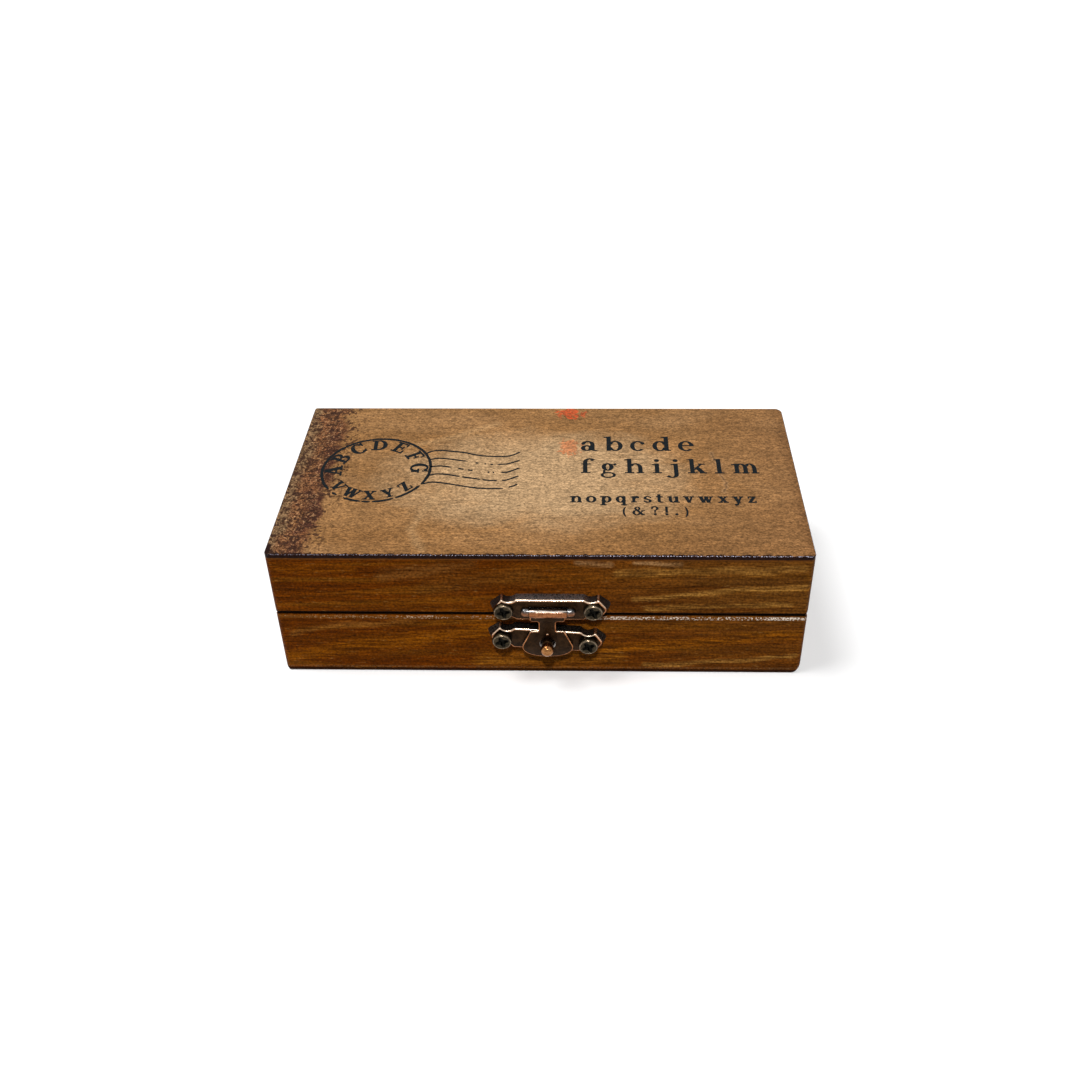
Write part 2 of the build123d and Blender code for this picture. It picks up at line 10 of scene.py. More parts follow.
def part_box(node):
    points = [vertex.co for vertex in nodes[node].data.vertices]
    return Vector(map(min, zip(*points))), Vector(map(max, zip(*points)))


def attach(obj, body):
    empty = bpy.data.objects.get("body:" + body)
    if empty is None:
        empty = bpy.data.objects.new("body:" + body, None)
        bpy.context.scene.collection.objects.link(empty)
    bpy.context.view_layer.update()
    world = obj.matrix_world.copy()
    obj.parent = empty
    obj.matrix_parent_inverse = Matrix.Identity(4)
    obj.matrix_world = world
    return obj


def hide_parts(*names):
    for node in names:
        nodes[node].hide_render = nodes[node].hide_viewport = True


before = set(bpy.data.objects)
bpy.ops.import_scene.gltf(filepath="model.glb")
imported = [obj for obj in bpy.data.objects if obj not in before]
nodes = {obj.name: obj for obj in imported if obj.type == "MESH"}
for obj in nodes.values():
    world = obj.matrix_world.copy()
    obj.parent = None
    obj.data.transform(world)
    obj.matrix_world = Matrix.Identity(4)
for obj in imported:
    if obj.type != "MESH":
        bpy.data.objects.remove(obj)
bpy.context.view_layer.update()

# Millimetres to metres, and the frame of the photograph
MM = 0.001
FRAME_PX = 1080
SENSOR_MM = 36.0

WALLS = "base_front_wall", "base_back_wall", "lid_front_wall", "lid_back_wall"
END_WALLS = "base_left_wall", "base_right_wall", "lid_left_wall", "lid_right_wall"
STAMPS = [name for name in nodes if name.startswith("stamp_") and name[6:] not in ("cushions", "dies")]


def box_mm(name):
    """A node's lowest and highest corners in millimetres."""
    low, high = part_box(name)
    return low / MM, high / MM


def middle_mm(name):
    """The middle of a node's box in millimetres."""
    low, high = box_mm(name)
    return (low + high) / 2


# Shader helpers

class Value:
    """A shader socket to calculate with. Each step adds a node to the socket's tree."""

    def __init__(self, socket):
        self.socket = socket

    def __add__(self, other):
        return calc("ADD", self, other)

    def __sub__(self, other):
        return calc("SUBTRACT", self, other)

    def __mul__(self, other):
        return calc("MULTIPLY", self, other)

    def __truediv__(self, other):
        return calc("DIVIDE", self, other)

    def __pow__(self, other):
        return calc("POWER", self, other)

    def __abs__(self):
        return calc("ABSOLUTE", self)


def feed(node, inputs):
    """Links a node's inputs to values, or sets their numbers and colours."""
    for key, value in inputs.items():
        socket = node.inputs[key]
        if isinstance(value, Value):
            socket.id_data.links.new(value.socket, socket)
        elif value is not None:
            if hasattr(socket.default_value, "__len__") and len(socket.default_value) == 4:
                value = (*value, 1.0)
            socket.default_value = value


def add_node(kind, inputs, output=0, tree=None, **settings):
    """The value that a new shader node gives. Its tree is given, or is that of its inputs."""
    tree = tree or next(value.socket.id_data for value in inputs.values() if isinstance(value, Value))
    node = tree.nodes.new(f"ShaderNode{kind}")
    for key, setting in settings.items():
        setattr(node, key, setting)
    feed(node, inputs)
    return Value(node.outputs[output])


def new_material(name):
    """A material with an empty node tree, its Principled shader and its output."""
    material = bpy.data.materials.new(name)
    material.use_nodes = True
    tree = material.node_tree
    tree.nodes.clear()
    shader = tree.nodes.new("ShaderNodeBsdfPrincipled")
    feed(tree.nodes.new("ShaderNodeOutputMaterial"), {"Surface": Value(shader.outputs["BSDF"])})
    return material, tree, shader


def finish(material, shader, colour, roughness, normal=None, specular=None, metallic=None):
    """Sets a shader's main inputs. Returns the material."""
    looks = {"Base Color": colour, "Roughness": roughness, "Normal": normal}
    feed(shader, {**looks, "Specular IOR Level": specular, "Metallic": metallic})
    return material


def calc(operation, a, b=None, clamp=False):
    return add_node("Math", {0: a, 1: b}, operation=operation, use_clamp=clamp)


def vector_calc(operation, inputs, output=0):
    return add_node("VectorMath", inputs, output, operation=operation)


def mix(factor, a, b, blend="MIX"):
    return add_node("Mix", {0: factor, 6: a, 7: b}, 2, data_type="RGBA", blend_type=blend)


def coats(colour, *layers):
    """A colour under layers, each a mask and its colour."""
    for mask, tone in layers:
        colour = mix(mask, colour, tone)
    return colour


def ramp(value, *stops):
    """A colour ramp. Each stop is a place and a grey or a colour."""
    made = add_node("ValToRGB", {0: value})
    elements = made.socket.node.color_ramp.elements
    while len(elements) < len(stops):
        elements.new(0.5)
    for element, (place, colour) in zip(elements, stops):
        element.position = place
        element.color = (*colour, 1.0) if hasattr(colour, "__len__") else (colour, colour, colour, 1.0)
    return made


def spread(value, low, high, to_low=0.0, to_high=1.0):
    """value taken from low..high to to_low..to_high, and held at the ends."""
    return add_node("MapRange", dict(enumerate((value, low, high, to_low, to_high))))


def between(value, start, full, fading, end):
    """A mask that rises from start to full and falls from fading to end."""
    return spread(value, start, full) * spread(value, end, fading)


def wave(value, source, amount):
    """A value shifted by a noise, for a ragged border."""
    return value + spread(source, 0.2, 0.8, -amount, amount)


def shade(colour, value, low, high):
    """A colour made darker and lighter by a noise."""
    return mix(1.0, colour, ramp(value, (0.3, low), (0.7, high)), "MULTIPLY")


def along(tree, source, axis):
    """One component of the piece's own places, in millimetres, or of its normals."""
    part = add_node("SeparateXYZ", {0: add_node("TexCoord", {}, source, tree)}, axis)
    return part * (1 / MM) if source == "Object" else part


def coordinates(tree, scale, offset=(0, 0, 0), turn=0.0):
    """Places on the piece in millimetres, turned round y and then scaled."""
    turned = add_node("Mapping", {0: add_node("TexCoord", {}, "Object", tree), "Rotation": (0, turn, 0)})
    return add_node("Mapping", {0: turned, "Scale": [part / MM for part in scale], "Location": offset})


def noise(tree, scale, detail=2, roughness=0.5, distortion=0.0, offset=(0, 0, 0), turn=0.0, output="Fac"):
    """Noise whose scale is in features per millimetre along each axis."""
    inputs = {"Vector": coordinates(tree, scale, offset, turn), "Scale": 1.0, "Detail": detail}
    return add_node("TexNoise", {**inputs, "Roughness": roughness, "Distortion": distortion}, output)


def bump(height, distance, strength, normal=None):
    """A bumpy normal. distance is in millimetres."""
    inputs = {"Height": height, "Distance": distance * MM, "Strength": strength, "Normal": normal}
    return add_node("Bump", inputs)


def near_line(place, points, width):
    """A mask that is 1 on a line through points and 0 at width beside it."""
    nearest = None
    for start, end in zip(points, points[1:]):
        start = Vector((*start, 0))
        step = Vector((*end, 0)) - start
        from_start = vector_calc("SUBTRACT", {0: place, 1: start})
        share = vector_calc("DOT_PRODUCT", {0: from_start, 1: step / step.length_squared}, "Value")
        foot = vector_calc("SCALE", {0: step, "Scale": calc("ADD", share, 0.0, clamp=True)})
        apart = vector_calc("DISTANCE", {0: from_start, 1: foot}, "Value")
        nearest = calc("MINIMUM", nearest, apart) if nearest else apart
    return spread(nearest, width, 0.0)


def use(material, *names):
    """Gives CAD nodes a material."""
    for name in names:
        nodes[name].data.materials.clear()
        nodes[name].data.materials.append(material)


# Stained wood of the walls

# Bands of grain on the front: points (x, z), width, strength and colour
ORANGE, GOLD = (0.27, 0.082, 0.003), (0.36, 0.17, 0.034)
TAN, DUSK = (0.4, 0.23, 0.1), (0.065, 0.017, 0.0015)
STAIN = (0.32, (0.1, 0.021, 0.0008)), (0.5, (0.132, 0.03, 0.001)), (0.7, (0.165, 0.044, 0.0022))
FRONT_BANDS = [
    ([(-60, 4.6), (-42.5, 8.8), (-24, 11.6), (-12, 13.1)], 3.0, 0.75, ORANGE),
    ([(-59, 12.6), (-45.5, 15.4), (-30, 16.2)], 1.4, 0.3, GOLD),
    ([(-40, 4.4), (-20, 7.4), (-6, 8.6)], 1.8, 0.45, DUSK),
    ([(-60, 32.3), (-43, 32.3)], 1.9, 0.35, ORANGE),
    ([(-26, 26.8), (-12, 28.8), (-2, 30.2)], 3.6, 0.3, (0.17, 0.085, 0.018)),
    ([(-36, 30.3), (-16, 33.4)], 2.6, 0.25, (0.24, 0.13, 0.035)),
    ([(18, 31.3), (32, 32.1), (45, 32.3), (60, 32.5)], 1.5, 0.7, GOLD),
    ([(22, 23.4), (37, 25.3), (46, 26.7), (61, 27.2)], 1.15, 0.75, GOLD),
    ([(25, 20.6), (37, 21.3), (46.5, 22.1), (58, 22.1)], 1.1, 0.65, GOLD),
    ([(34, 29.4), (60, 29.8)], 1.7, 0.5, (0.1, 0.036, 0.007)),
    ([(11, 8.0), (20, 8.4), (41, 10.7), (61, 12.6)], 2.0, 0.65, ORANGE),
    ([(25, 2.2), (38, 3.3), (48, 4.3), (60.6, 5.7)], 1.15, 0.8, GOLD),
    ([(34, 7.0), (48, 7.8), (60, 8.6)], 1.7, 0.5, (0.085, 0.028, 0.004)),
    ([(-14, 3.6), (2, 4.2), (18, 5.4)], 3.2, 0.6, (0.31, 0.115, 0.01)),
    ([(9, 34.3), (16, 34.2)], 1.4, 0.5, TAN),
    ([(22, 34.5), (32, 34.3)], 1.1, 0.5, TAN),
]
GRAIN_LEAN = 0.035
# Heights of the base's rounded rim, painted lighter with specks of highlight, and of the gap between base
# and lid, painted with shade
RIM_FOOT, RIM_TOP = 17.1, 18.2
SEAM = 18.9


def stained_wood(name, grain_axis, seed):
    """Orange-brown stain over streaky grain that runs along one axis, under thin varnish."""
    material, tree, shader = new_material(name)
    shift = (seed * 3.7, seed * 2.1, seed * 1.3)
    lean = GRAIN_LEAN if grain_axis == "X" else 0.0

    def grain(lengthwise, across, detail, roughness, distortion=0.0, turn=0.0):
        scale = [lengthwise if axis == grain_axis else across for axis in "XYZ"]
        return noise(tree, scale, detail, roughness, distortion, shift, turn)

    x = along(tree, "Object", "X")
    z = along(tree, "Object", "Z")
    broad = grain(0.01, 0.12, 2, 0.5, 0.3, lean)
    bands = grain(0.024, 0.38, 3, 0.5, 0.4, lean)
    streaks = grain(0.05, 1.1, 3, 0.6, 0.35, lean / 2)
    fibres = grain(0.16, 2.5, 3, 0.65, 0.2)
    pores = grain(0.5, 2.6, 1, 0.5)
    grit = grain(1.6, 2.0, 2, 0.6)

    colour = coats(
        ramp(broad, *STAIN),
        (spread(x, -10, 45, 0, 0.75) * spread(z, 12, 22, 0.45, 1), (0.165, 0.064, 0.01)),
        (spread(bands, 0.54, 0.7, 0, 0.6), (0.24, 0.082, 0.006)),
        (spread(bands, 0.45, 0.33, 0, 0.5), (0.08, 0.018, 0.0014)),
    )
    if grain_axis == "X":
        place = add_node("CombineXYZ", {0: x, 1: wave(z, noise(tree, (0.09, 0.25, 0.25), 2, 0.5, 0.5), 0.9)})
        front = spread(along(tree, "Object", "Y"), -20, -25)
        thread = spread(fibres, 0.36, 0.58, 0.3, 1.0) * spread(streaks, 0.34, 0.54, 0.45, 1.0)
        for points, width, strength, tone in FRONT_BANDS:
            mask = spread(near_line(place, points, width), 0, 0.7, 0, strength)
            colour = mix(mask * thread * front, colour, tone)
    colour = shade(colour, streaks, 0.74, 1.28)
    colour = shade(colour, fibres, 0.52, 1.56)
    colour = mix(spread(pores, 0.36, 0.26, 0, 0.6), colour, (0.028, 0.007, 0.0008))
    colour = mix(spread(pores, 0.68, 0.78, 0, 0.4), colour, (0.4, 0.19, 0.05))
    colour = shade(colour, grit, 0.5, 1.5)

    # The base's rounded rim is painted lighter with pale specks of highlight, the gap above it is painted
    # with shade, and the line by the table is dark
    out = abs(along(tree, "Normal", "Y" if grain_axis == "X" else "X"))
    rim = between(z, RIM_FOOT, RIM_FOOT + 0.25, RIM_TOP - 0.25, RIM_TOP) * spread(out, 0.1, 0.4)
    specks = grain(2.3, 2.9, 2, 0.7)
    sparse = grain(0.06, 0.06, 1, 0.5)
    lift = spread(sparse, 0.3, 0.7, -0.09, 0.07) + spread(x, -60, 45, -0.05, 0.05)
    # Painted highlight: the colour of the rim's glints, paler to the right
    worn = mix(spread(x, -50, 40), (0.5, 0.3, 0.15), (1.0, 0.88, 0.74))
    low = spread(wave(z, specks, 0.2), 1.3, 1.05) * spread(z, 0.15, 0.4)
    above = between(z, 1.25, 1.4, 1.6, 2.0) * spread(specks, 0.42, 0.6)
    colour = coats(
        colour,
        # Painted highlight: a lighter band and pale glints on the rounded rim
        (rim * 0.45, (0.24, 0.095, 0.018)),
        (rim * spread(specks + lift, 0.55, 0.63), worn),
        # Painted shade in the gap between base and lid
        (spread(abs(z - SEAM), 0.62, 0.5) * spread(out, 0.1, 0.3), (0.003, 0.0012, 0.0008)),
        (low * 0.85, (0.012, 0.004, 0.002)),
        (above * 0.5, (0.34, 0.17, 0.07)),
    )

    # End grain where the boards end
    if grain_axis == "X":
        rings = noise(tree, (0.2, 0.5, 1.6), 3, 0.6, 0.8, shift)
        rings = ramp(rings, (0.35, (0.05, 0.014, 0.002)), (0.65, (0.12, 0.036, 0.004)))
        colour = mix(spread(abs(along(tree, "Normal", "X")), 0.75, 0.95), colour, rings)
    feed(shader, {"Specular Tint": (1.0, 0.5, 0.14)})
    relief = bump(fibres, 0.05, 0.7, bump(specks, 0.16, 0.8))
    return finish(material, shader, colour, spread(fibres, 0.3, 0.7, 0.3, 0.48), relief, 0.02)


use(stained_wood("stained wood along x", "X", 1), *WALLS, "base_bottom_panel")
use(stained_wood("stained wood along y", "Y", 2), *END_WALLS)


# Printed plywood panel of the lid

CREASES = [
    [(-35.1, 12.4), (-23.4, 17.2), (-13.1, 23.1)],
    [(-20.0, -2.0), (-24.2, -5.3), (-28.1, -15.2), (-30.2, -21.5), (-26.9, -29.1)],
]
CRACK = [
    (42.2, 10.0), (42.7, 7.2), (43.9, 4.7), (43.2, 2.7),
    (43.7, 0.0), (44.6, -2.4), (44.7, -4.7), (43.8, -6.6),
]
# Faded red ink: x, y, half width, half depth, strength and colour
RED_PATCHES = [
    (6.2, 28.3, 3.3, 2.4, 0.9, (0.5, 0.07, 0.022)),
    (6.6, 12.2, 2.6, 3.1, 0.85, (0.52, 0.17, 0.065)),
]
RUST, PALE_RUST, BURNT = (0.205, 0.074, 0.03), (0.44, 0.26, 0.13), (0.04, 0.016, 0.008)
PLY = (0.3, (0.215, 0.104, 0.036)), (0.5, (0.262, 0.132, 0.049)), (0.7, (0.305, 0.163, 0.068))
GREY_MARGIN, PURPLE, LOOSE = (0.19, 0.118, 0.058), (0.058, 0.02, 0.014), (0.04, 0.017, 0.01)


def flat_place(tree, wobble, scale):
    """Places on the lid in millimetres, without their height and shaken a little."""
    shaken = noise(tree, [scale] * 3, 3, output="Color")
    flat = coordinates(tree, (1, 1, 0), (-wobble / 2, -wobble / 2, 0))
    return vector_calc("MULTIPLY_ADD", {0: shaken, 1: (wobble, wobble, 0), 2: flat})


def lid_panel():
    """Light brown ply with fine flecks along x, a stained end, veneer creases and a dark edge."""
    material, tree, shader = new_material("lid panel")
    corner = box_mm("lid_top_panel")[0]
    x = along(tree, "Object", "X")
    y = along(tree, "Object", "Y")
    broad = noise(tree, (0.025, 0.06, 0.1), 3, 0.5, 0.8)
    cloud = noise(tree, (0.07, 0.13, 0.1), 4, 0.6, 0.5, (7, 3, 0))
    flecks = noise(tree, (0.9, 1.9, 1), 3, 0.65, 0.4)
    fine = noise(tree, (2.0, 3.0, 1), 2, 0.65)
    fibres = noise(tree, (0.16, 1.4, 1), 3, 0.6, 0.5)

    # The top is painted paler in the middle, a painted sheen, and darker towards the front, a painted
    # falloff of light; it is browner to the right
    from_middle = (x / 34) ** 2 + ((y + 1) / 19) ** 2
    colour = coats(
        shade(ramp(broad, *PLY), cloud, 0.8, 1.18),
        # Painted sheen: paler in the middle
        (spread(wave(from_middle, cloud, 0.45), 1.5, 0.3, 0, 0.85), (0.445, 0.288, 0.152)),
        (spread(x, 30, 62, 0, 0.45), (0.215, 0.105, 0.043)),
        # Painted falloff of light: darker towards the front
        (spread(y, -12, -31, 0, 0.2), (0.235, 0.105, 0.034)),
        (spread(x, 59.5, 62.5, 0, 0.45), (0.1, 0.043, 0.016)),
    )

    # Veneer creases, a crack and faded red ink
    place = flat_place(tree, 1.6, 0.25)
    for crease in CREASES:
        colour = mix(near_line(place, crease, 1.7) * 0.32, colour, (0.48, 0.3, 0.145))
    beside_crack = near_line(flat_place(tree, 1.7, 0.9), CRACK, 0.8)
    crack = spread(near_line(flat_place(tree, 0.9, 0.9), CRACK, 0.35), 0.2, 0.7)
    colour = mix(beside_crack * 0.35, colour, (0.47, 0.29, 0.15))
    colour = mix(crack * spread(cloud, 0.3, 0.5, 0.25, 0.65), colour, (0.1, 0.048, 0.022))
    for middle_x, middle_y, half_width, half_depth, strength, ink in RED_PATCHES:
        across = abs((x - middle_x) / half_width)
        down = abs((y - middle_y) / half_depth)
        torn = noise(tree, (0.55, 0.42, 1), 4, 0.65, 1.2)
        reach = calc("SQRT", across * across + down * down) + spread(torn, 0.3, 0.7, -0.75, 0.65)
        patch = spread(reach, 1.0, 0.8) * spread(flecks, 0.3, 0.6, 0.45, 1) * strength
        colour = mix(patch, colour, ink)

    # Stain along the left end: a grey margin, a rusty band, dark purple patches and loose specks
    ragged = wave(x, noise(tree, (0.12, 0.12, 1), 4, 0.65, 0.6, (5, 9, 0)), 2.8)
    worms = noise(tree, (1.3, 1.0, 1), 2, 0.6, 1.6)
    mottle = noise(tree, (0.33, 0.3, 1), 3, 0.6, 0.8)
    blots = noise(tree, (0.16, 0.14, 1), 3, 0.6, 0.8, (2, 6, 0))
    dots = noise(tree, (1.1, 0.9, 1), 1, 0.5, 0.4, (11, 4, 0)) + spread(mottle, 0.35, 0.6, -0.06, 0.06)
    band = spread(ragged, -52.0, -54.0) * spread(mottle, 0.3, 0.55, 0.45, 1.0)
    purple = between(ragged, -51.8, -53.2, -56.0, -58.0) * spread(blots, 0.4, 0.56)
    colour = coats(
        colour,
        (band * 0.8, RUST),
        (spread(ragged, -58.6, -60.4) * 0.85, GREY_MARGIN),
        (purple * spread(worms, 0.62, 0.5, 0.45, 0.95), PURPLE),
        (spread(ragged, -51.5, -54.5) * spread(worms, 0.52, 0.43, 0, 0.9), BURNT),
        (spread(ragged, -52.5, -55.0) * spread(worms, 0.57, 0.68, 0, 0.75), PALE_RUST),
        (spread(ragged, -46.5, -51.0) * spread(dots, 0.45, 0.4) * 0.9, LOOSE),
    )
    colour = shade(colour, fibres, 0.8, 1.2)
    colour = shade(colour, flecks, 0.62, 1.38)
    colour = shade(colour, fine, 0.5, 1.54)

    # The panel's edge is dark, with a smear onto the top at the front, a black corner and pale glints of
    # painted highlight along its rounded top edge
    up = along(tree, "Normal", "Z")
    edge = calc("MAXIMUM", spread(up, 0.93, 0.7), spread(wave(y - corner.y, flecks, 0.5), 0.55, 0.3))
    left = spread(wave(x, flecks, 0.4), corner.x + 1.5, corner.x + 1.1)
    edge = calc("MAXIMUM", edge, left * spread(wave(y, flecks, 0.8), corner.y + 4.2, corner.y + 3.2))
    foot = spread(along(tree, "Object", "Z"), corner.z + 0.5, corner.z + 0.3) * spread(up, 0.2, 0.1)
    dark = ramp(flecks, (0.3, (0.005, 0.0015, 0.0015)), (0.7, (0.028, 0.008, 0.004)))
    dark = mix(foot, dark, shade((0.15, 0.047, 0.005), flecks, 0.7, 1.3))
    # Painted highlight: glints of the key light on the rounded top edge, stronger to the right
    glints = noise(tree, (2.8, 3.4, 3.4), 1, 0.5, 0.0, (4, 4, 4))
    line = between(up, 0.4, 0.6, 0.8, 0.94) * spread(glints, 0.5, 0.64)
    colour = coats(
        colour,
        (edge, dark),
        (line * spread(x, -60, 20, 0.35, 1.0), (0.66, 0.62, 0.76)),
        (spread(up, -0.5, -0.8), shade((0.42, 0.27, 0.14), fibres, 0.8, 1.2)),
    )
    relief = bump(flecks, 0.05, 0.6, bump(glints, 0.1, 0.5))
    return finish(material, shader, colour, spread(edge, 0, 1, 0.6, 0.28), relief, 0.04)


use(lid_panel(), "lid_top_panel")


# Metals of the latch, its screws and the hinges

def metal(name, dark, light, roughness, scale=1.2, low=0.35, high=0.65, relief=0.03, tint=None):
    """Patinated metal: a mottled colour between two, rougher where it is darker."""
    material, tree, shader = new_material(name)
    mottled = noise(tree, [scale] * 3, 4, 0.6)
    fine = noise(tree, [scale * 4] * 3, 2, 0.6)
    colour = mix(spread(mottled, low, high), dark, light)
    if tint:
        colour = tint(tree, colour, mottled)
    colour = shade(colour, fine, 0.8, 1.2)
    gloss = spread(mottled, 0.3, 0.7, roughness[1], roughness[0])
    return finish(material, shader, colour, gloss, bump(fine, relief, 0.6), metallic=1.0)


def curl_tint_and_painted_light(tree, colour, mottled):
    """The curl is copper in front under a painted highlight streak, stays dark above, and has painted shade
    below.
    """
    up = wave(along(tree, "Normal", "Z"), mottled, 0.03)
    return coats(
        colour,
        (spread(up, 0.62, 0.74), (0.085, 0.062, 0.048)),
        (spread(up, -0.55, -0.8), (0.045, 0.02, 0.009)),
        (between(up, 0.83, 0.87, 0.91, 0.94) * 0.8, (0.62, 0.55, 0.49)),
    )


def edge_painted_highlight(tree, colour, mottled):
    """Worn edges that face up get a painted pale highlight line."""
    return mix(spread(along(tree, "Normal", "Z"), 0.15, 0.55) * 0.85, colour, (0.78, 0.62, 0.46))


def dome_painted_highlight(tree, colour, mottled):
    """The ears are copper below and painted grey above, a painted highlight."""
    up = wave(along(tree, "Normal", "Z"), mottled, 0.2)
    return mix(spread(up, 0.1, 0.7), colour, ramp(mottled, (0.4, 0.035), (0.62, 0.12)))


def skirt_tint(tree, colour, mottled):
    """The upper plate's long side catches more light than its ends."""
    away = abs(along(tree, "Object", "X") - UPPER.x)
    return mix(spread(away, 8.2, 9.4, 0, 0.8), colour, (0.03, 0.026, 0.024))


UPPER = middle_mm("latch_upper_plate")
FACE = metal("latch face", (0.011, 0.005, 0.0018), (0.032, 0.0155, 0.0065), (0.34, 0.5), 0.7, 0.3, 0.7)
# Worn copper edges, with a highlight painted where they face up
EDGE = metal("latch worn edge with painted highlight", (0.17, 0.055, 0.018), (0.46, 0.19, 0.075), (0.2, 0.34), 0.8, tint=edge_painted_highlight)
SKIRT = metal("latch skirt", (0.008, 0.007, 0.006), (0.16, 0.145, 0.13), (0.36, 0.6), 3.2, 0.45, 0.75, 0.08)
# Painted light: the upper plate's skirt is a lighter copy of the skirt metal, where the key light falls on
# it
LONG_SKIRT = metal(
    "latch long skirt", (0.014, 0.013, 0.013), (0.4, 0.385, 0.38), (0.3, 0.5), 3.0, tint=skirt_tint,
)
# The curl's tint paints a highlight streak, and shade on its underside
CURL = metal("latch curl", (0.15, 0.05, 0.018), (0.34, 0.135, 0.055), (0.18, 0.3), 1.0, tint=curl_tint_and_painted_light)
# The ears' tint paints a grey highlight on their tops
DOME = metal("latch dome", (0.12, 0.046, 0.02), (0.26, 0.11, 0.05), (0.2, 0.34), 1.5, tint=dome_painted_highlight)
BALL = metal("stud copper", (0.17, 0.066, 0.021), (0.36, 0.165, 0.058), (0.08, 0.16), 1.0)
# Painted highlight: the hole's bevel is a light grey, lighter than the face it is pressed from
BEVEL = metal("hole bevel", (0.1, 0.085, 0.075), (0.32, 0.29, 0.27), (0.2, 0.34), 1.5)
HEAD = metal("screw head", (0.016, 0.012, 0.007), (0.05, 0.038, 0.022), (0.28, 0.42), 1.6)
# Painted highlight: the heads' rounded rims are a lighter copy of the head metal
RIM = metal("screw rim", (0.06, 0.044, 0.028), (0.22, 0.165, 0.11), (0.2, 0.34), 1.6)
# Painted shade: the screws' cross recesses are painted near black
SHADED_RECESS = metal("screw recess", (0.002, 0.002, 0.0015), (0.01, 0.009, 0.007), (0.3, 0.5), 2.5)
HINGE = metal("hinge face", (0.05, 0.032, 0.017), (0.15, 0.095, 0.05), (0.3, 0.46), 0.9)
HINGE_EDGE = metal("hinge worn edge", (0.24, 0.12, 0.06), (0.52, 0.31, 0.18), (0.22, 0.36), 0.8)


# Mesh helpers. Outlines are counter-clockwise, and all places are in millimetres.

def rounded(corners, steps=5, marks=None):
    """A closed outline from corners (x, y, radius). marks gets the radius that each of its sides lies on."""
    points = []
    marks = [] if marks is None else marks
    for number, (x, y, radius) in enumerate(corners):
        corner = Vector((x, y))
        if not radius:
            points.append(corner)
            marks.append(0)
            continue
        before = (Vector(corners[number - 1][:2]) - corner).normalized()
        after = (Vector(corners[(number + 1) % len(corners)][:2]) - corner).normalized()
        half = math.acos(before.dot(after)) / 2
        centre = corner + (before + after).normalized() * radius / math.sin(half)
        first = corner + before * radius / math.tan(half) - centre
        last = corner + after * radius / math.tan(half) - centre
        start = math.atan2(first.y, first.x)
        turn = (math.atan2(last.y, last.x) - start + math.pi) % math.tau - math.pi
        for step in range(steps + 1):
            angle = start + turn * step / steps
            points.append(centre + radius * Vector((math.cos(angle), math.sin(angle))))
            marks.append(radius if step < steps else 0)
    return points


def circle(x, y, radius, steps=32):
    turns = [math.tau * step / steps for step in range(steps)]
    return [Vector((x + radius * math.cos(turn), y + radius * math.sin(turn))) for turn in turns]


def inset(outline, amount):
    """The outline moved inwards."""
    moved = []
    for number, point in enumerate(outline):
        before = (point - outline[number - 1]).normalized()
        after = (outline[(number + 1) % len(outline)] - point).normalized()
        middle = (before + after).normalized()
        moved.append(point + Vector((-middle.y, middle.x)) * amount / max(0.5, middle.dot(before)))
    return moved


def holds(outline, point):
    """Whether a point is inside a closed outline."""
    inside = False
    for number, end in enumerate(outline):
        start = outline[number - 1]
        if (start[1] > point[1]) != (end[1] > point[1]):
            crossing = start[0] + (point[1] - start[1]) / (end[1] - start[1]) * (end[0] - start[0])
            inside ^= point[0] < crossing
    return inside


def covered(outlines, holes=()):
    """Points and triangles that cover some outlines, which may overlap, apart from the holes."""
    points, edges = [], []
    for outline in [*outlines, *holes]:
        first = len(points)
        points += [Vector(point) for point in outline]
        edges += [(first + step, first + (step + 1) % len(outline)) for step in range(len(outline))]
    points, _, faces, *_ = delaunay_2d_cdt(points, edges, [], 0, 1e-5)
    kept = []
    for face in faces:
        middle = sum((points[corner] for corner in face), Vector((0, 0))) / len(face)
        inside, outside = ([holds(outline, middle) for outline in group] for group in (outlines, holes))
        if any(inside) and not any(outside):
            kept.append(face)
    return points, kept


def mirrored(profile):
    """A profile and its mirror image."""
    return profile + [(-far, radius) for far, radius in reversed(profile) if far]


def add_object(name, data):
    made = bpy.data.objects.new(name, data)
    bpy.context.collection.objects.link(made)
    return made


SHARP_ANGLE = math.radians(32)
WELD = 0.002 * MM
ROUND_STEPS = 4


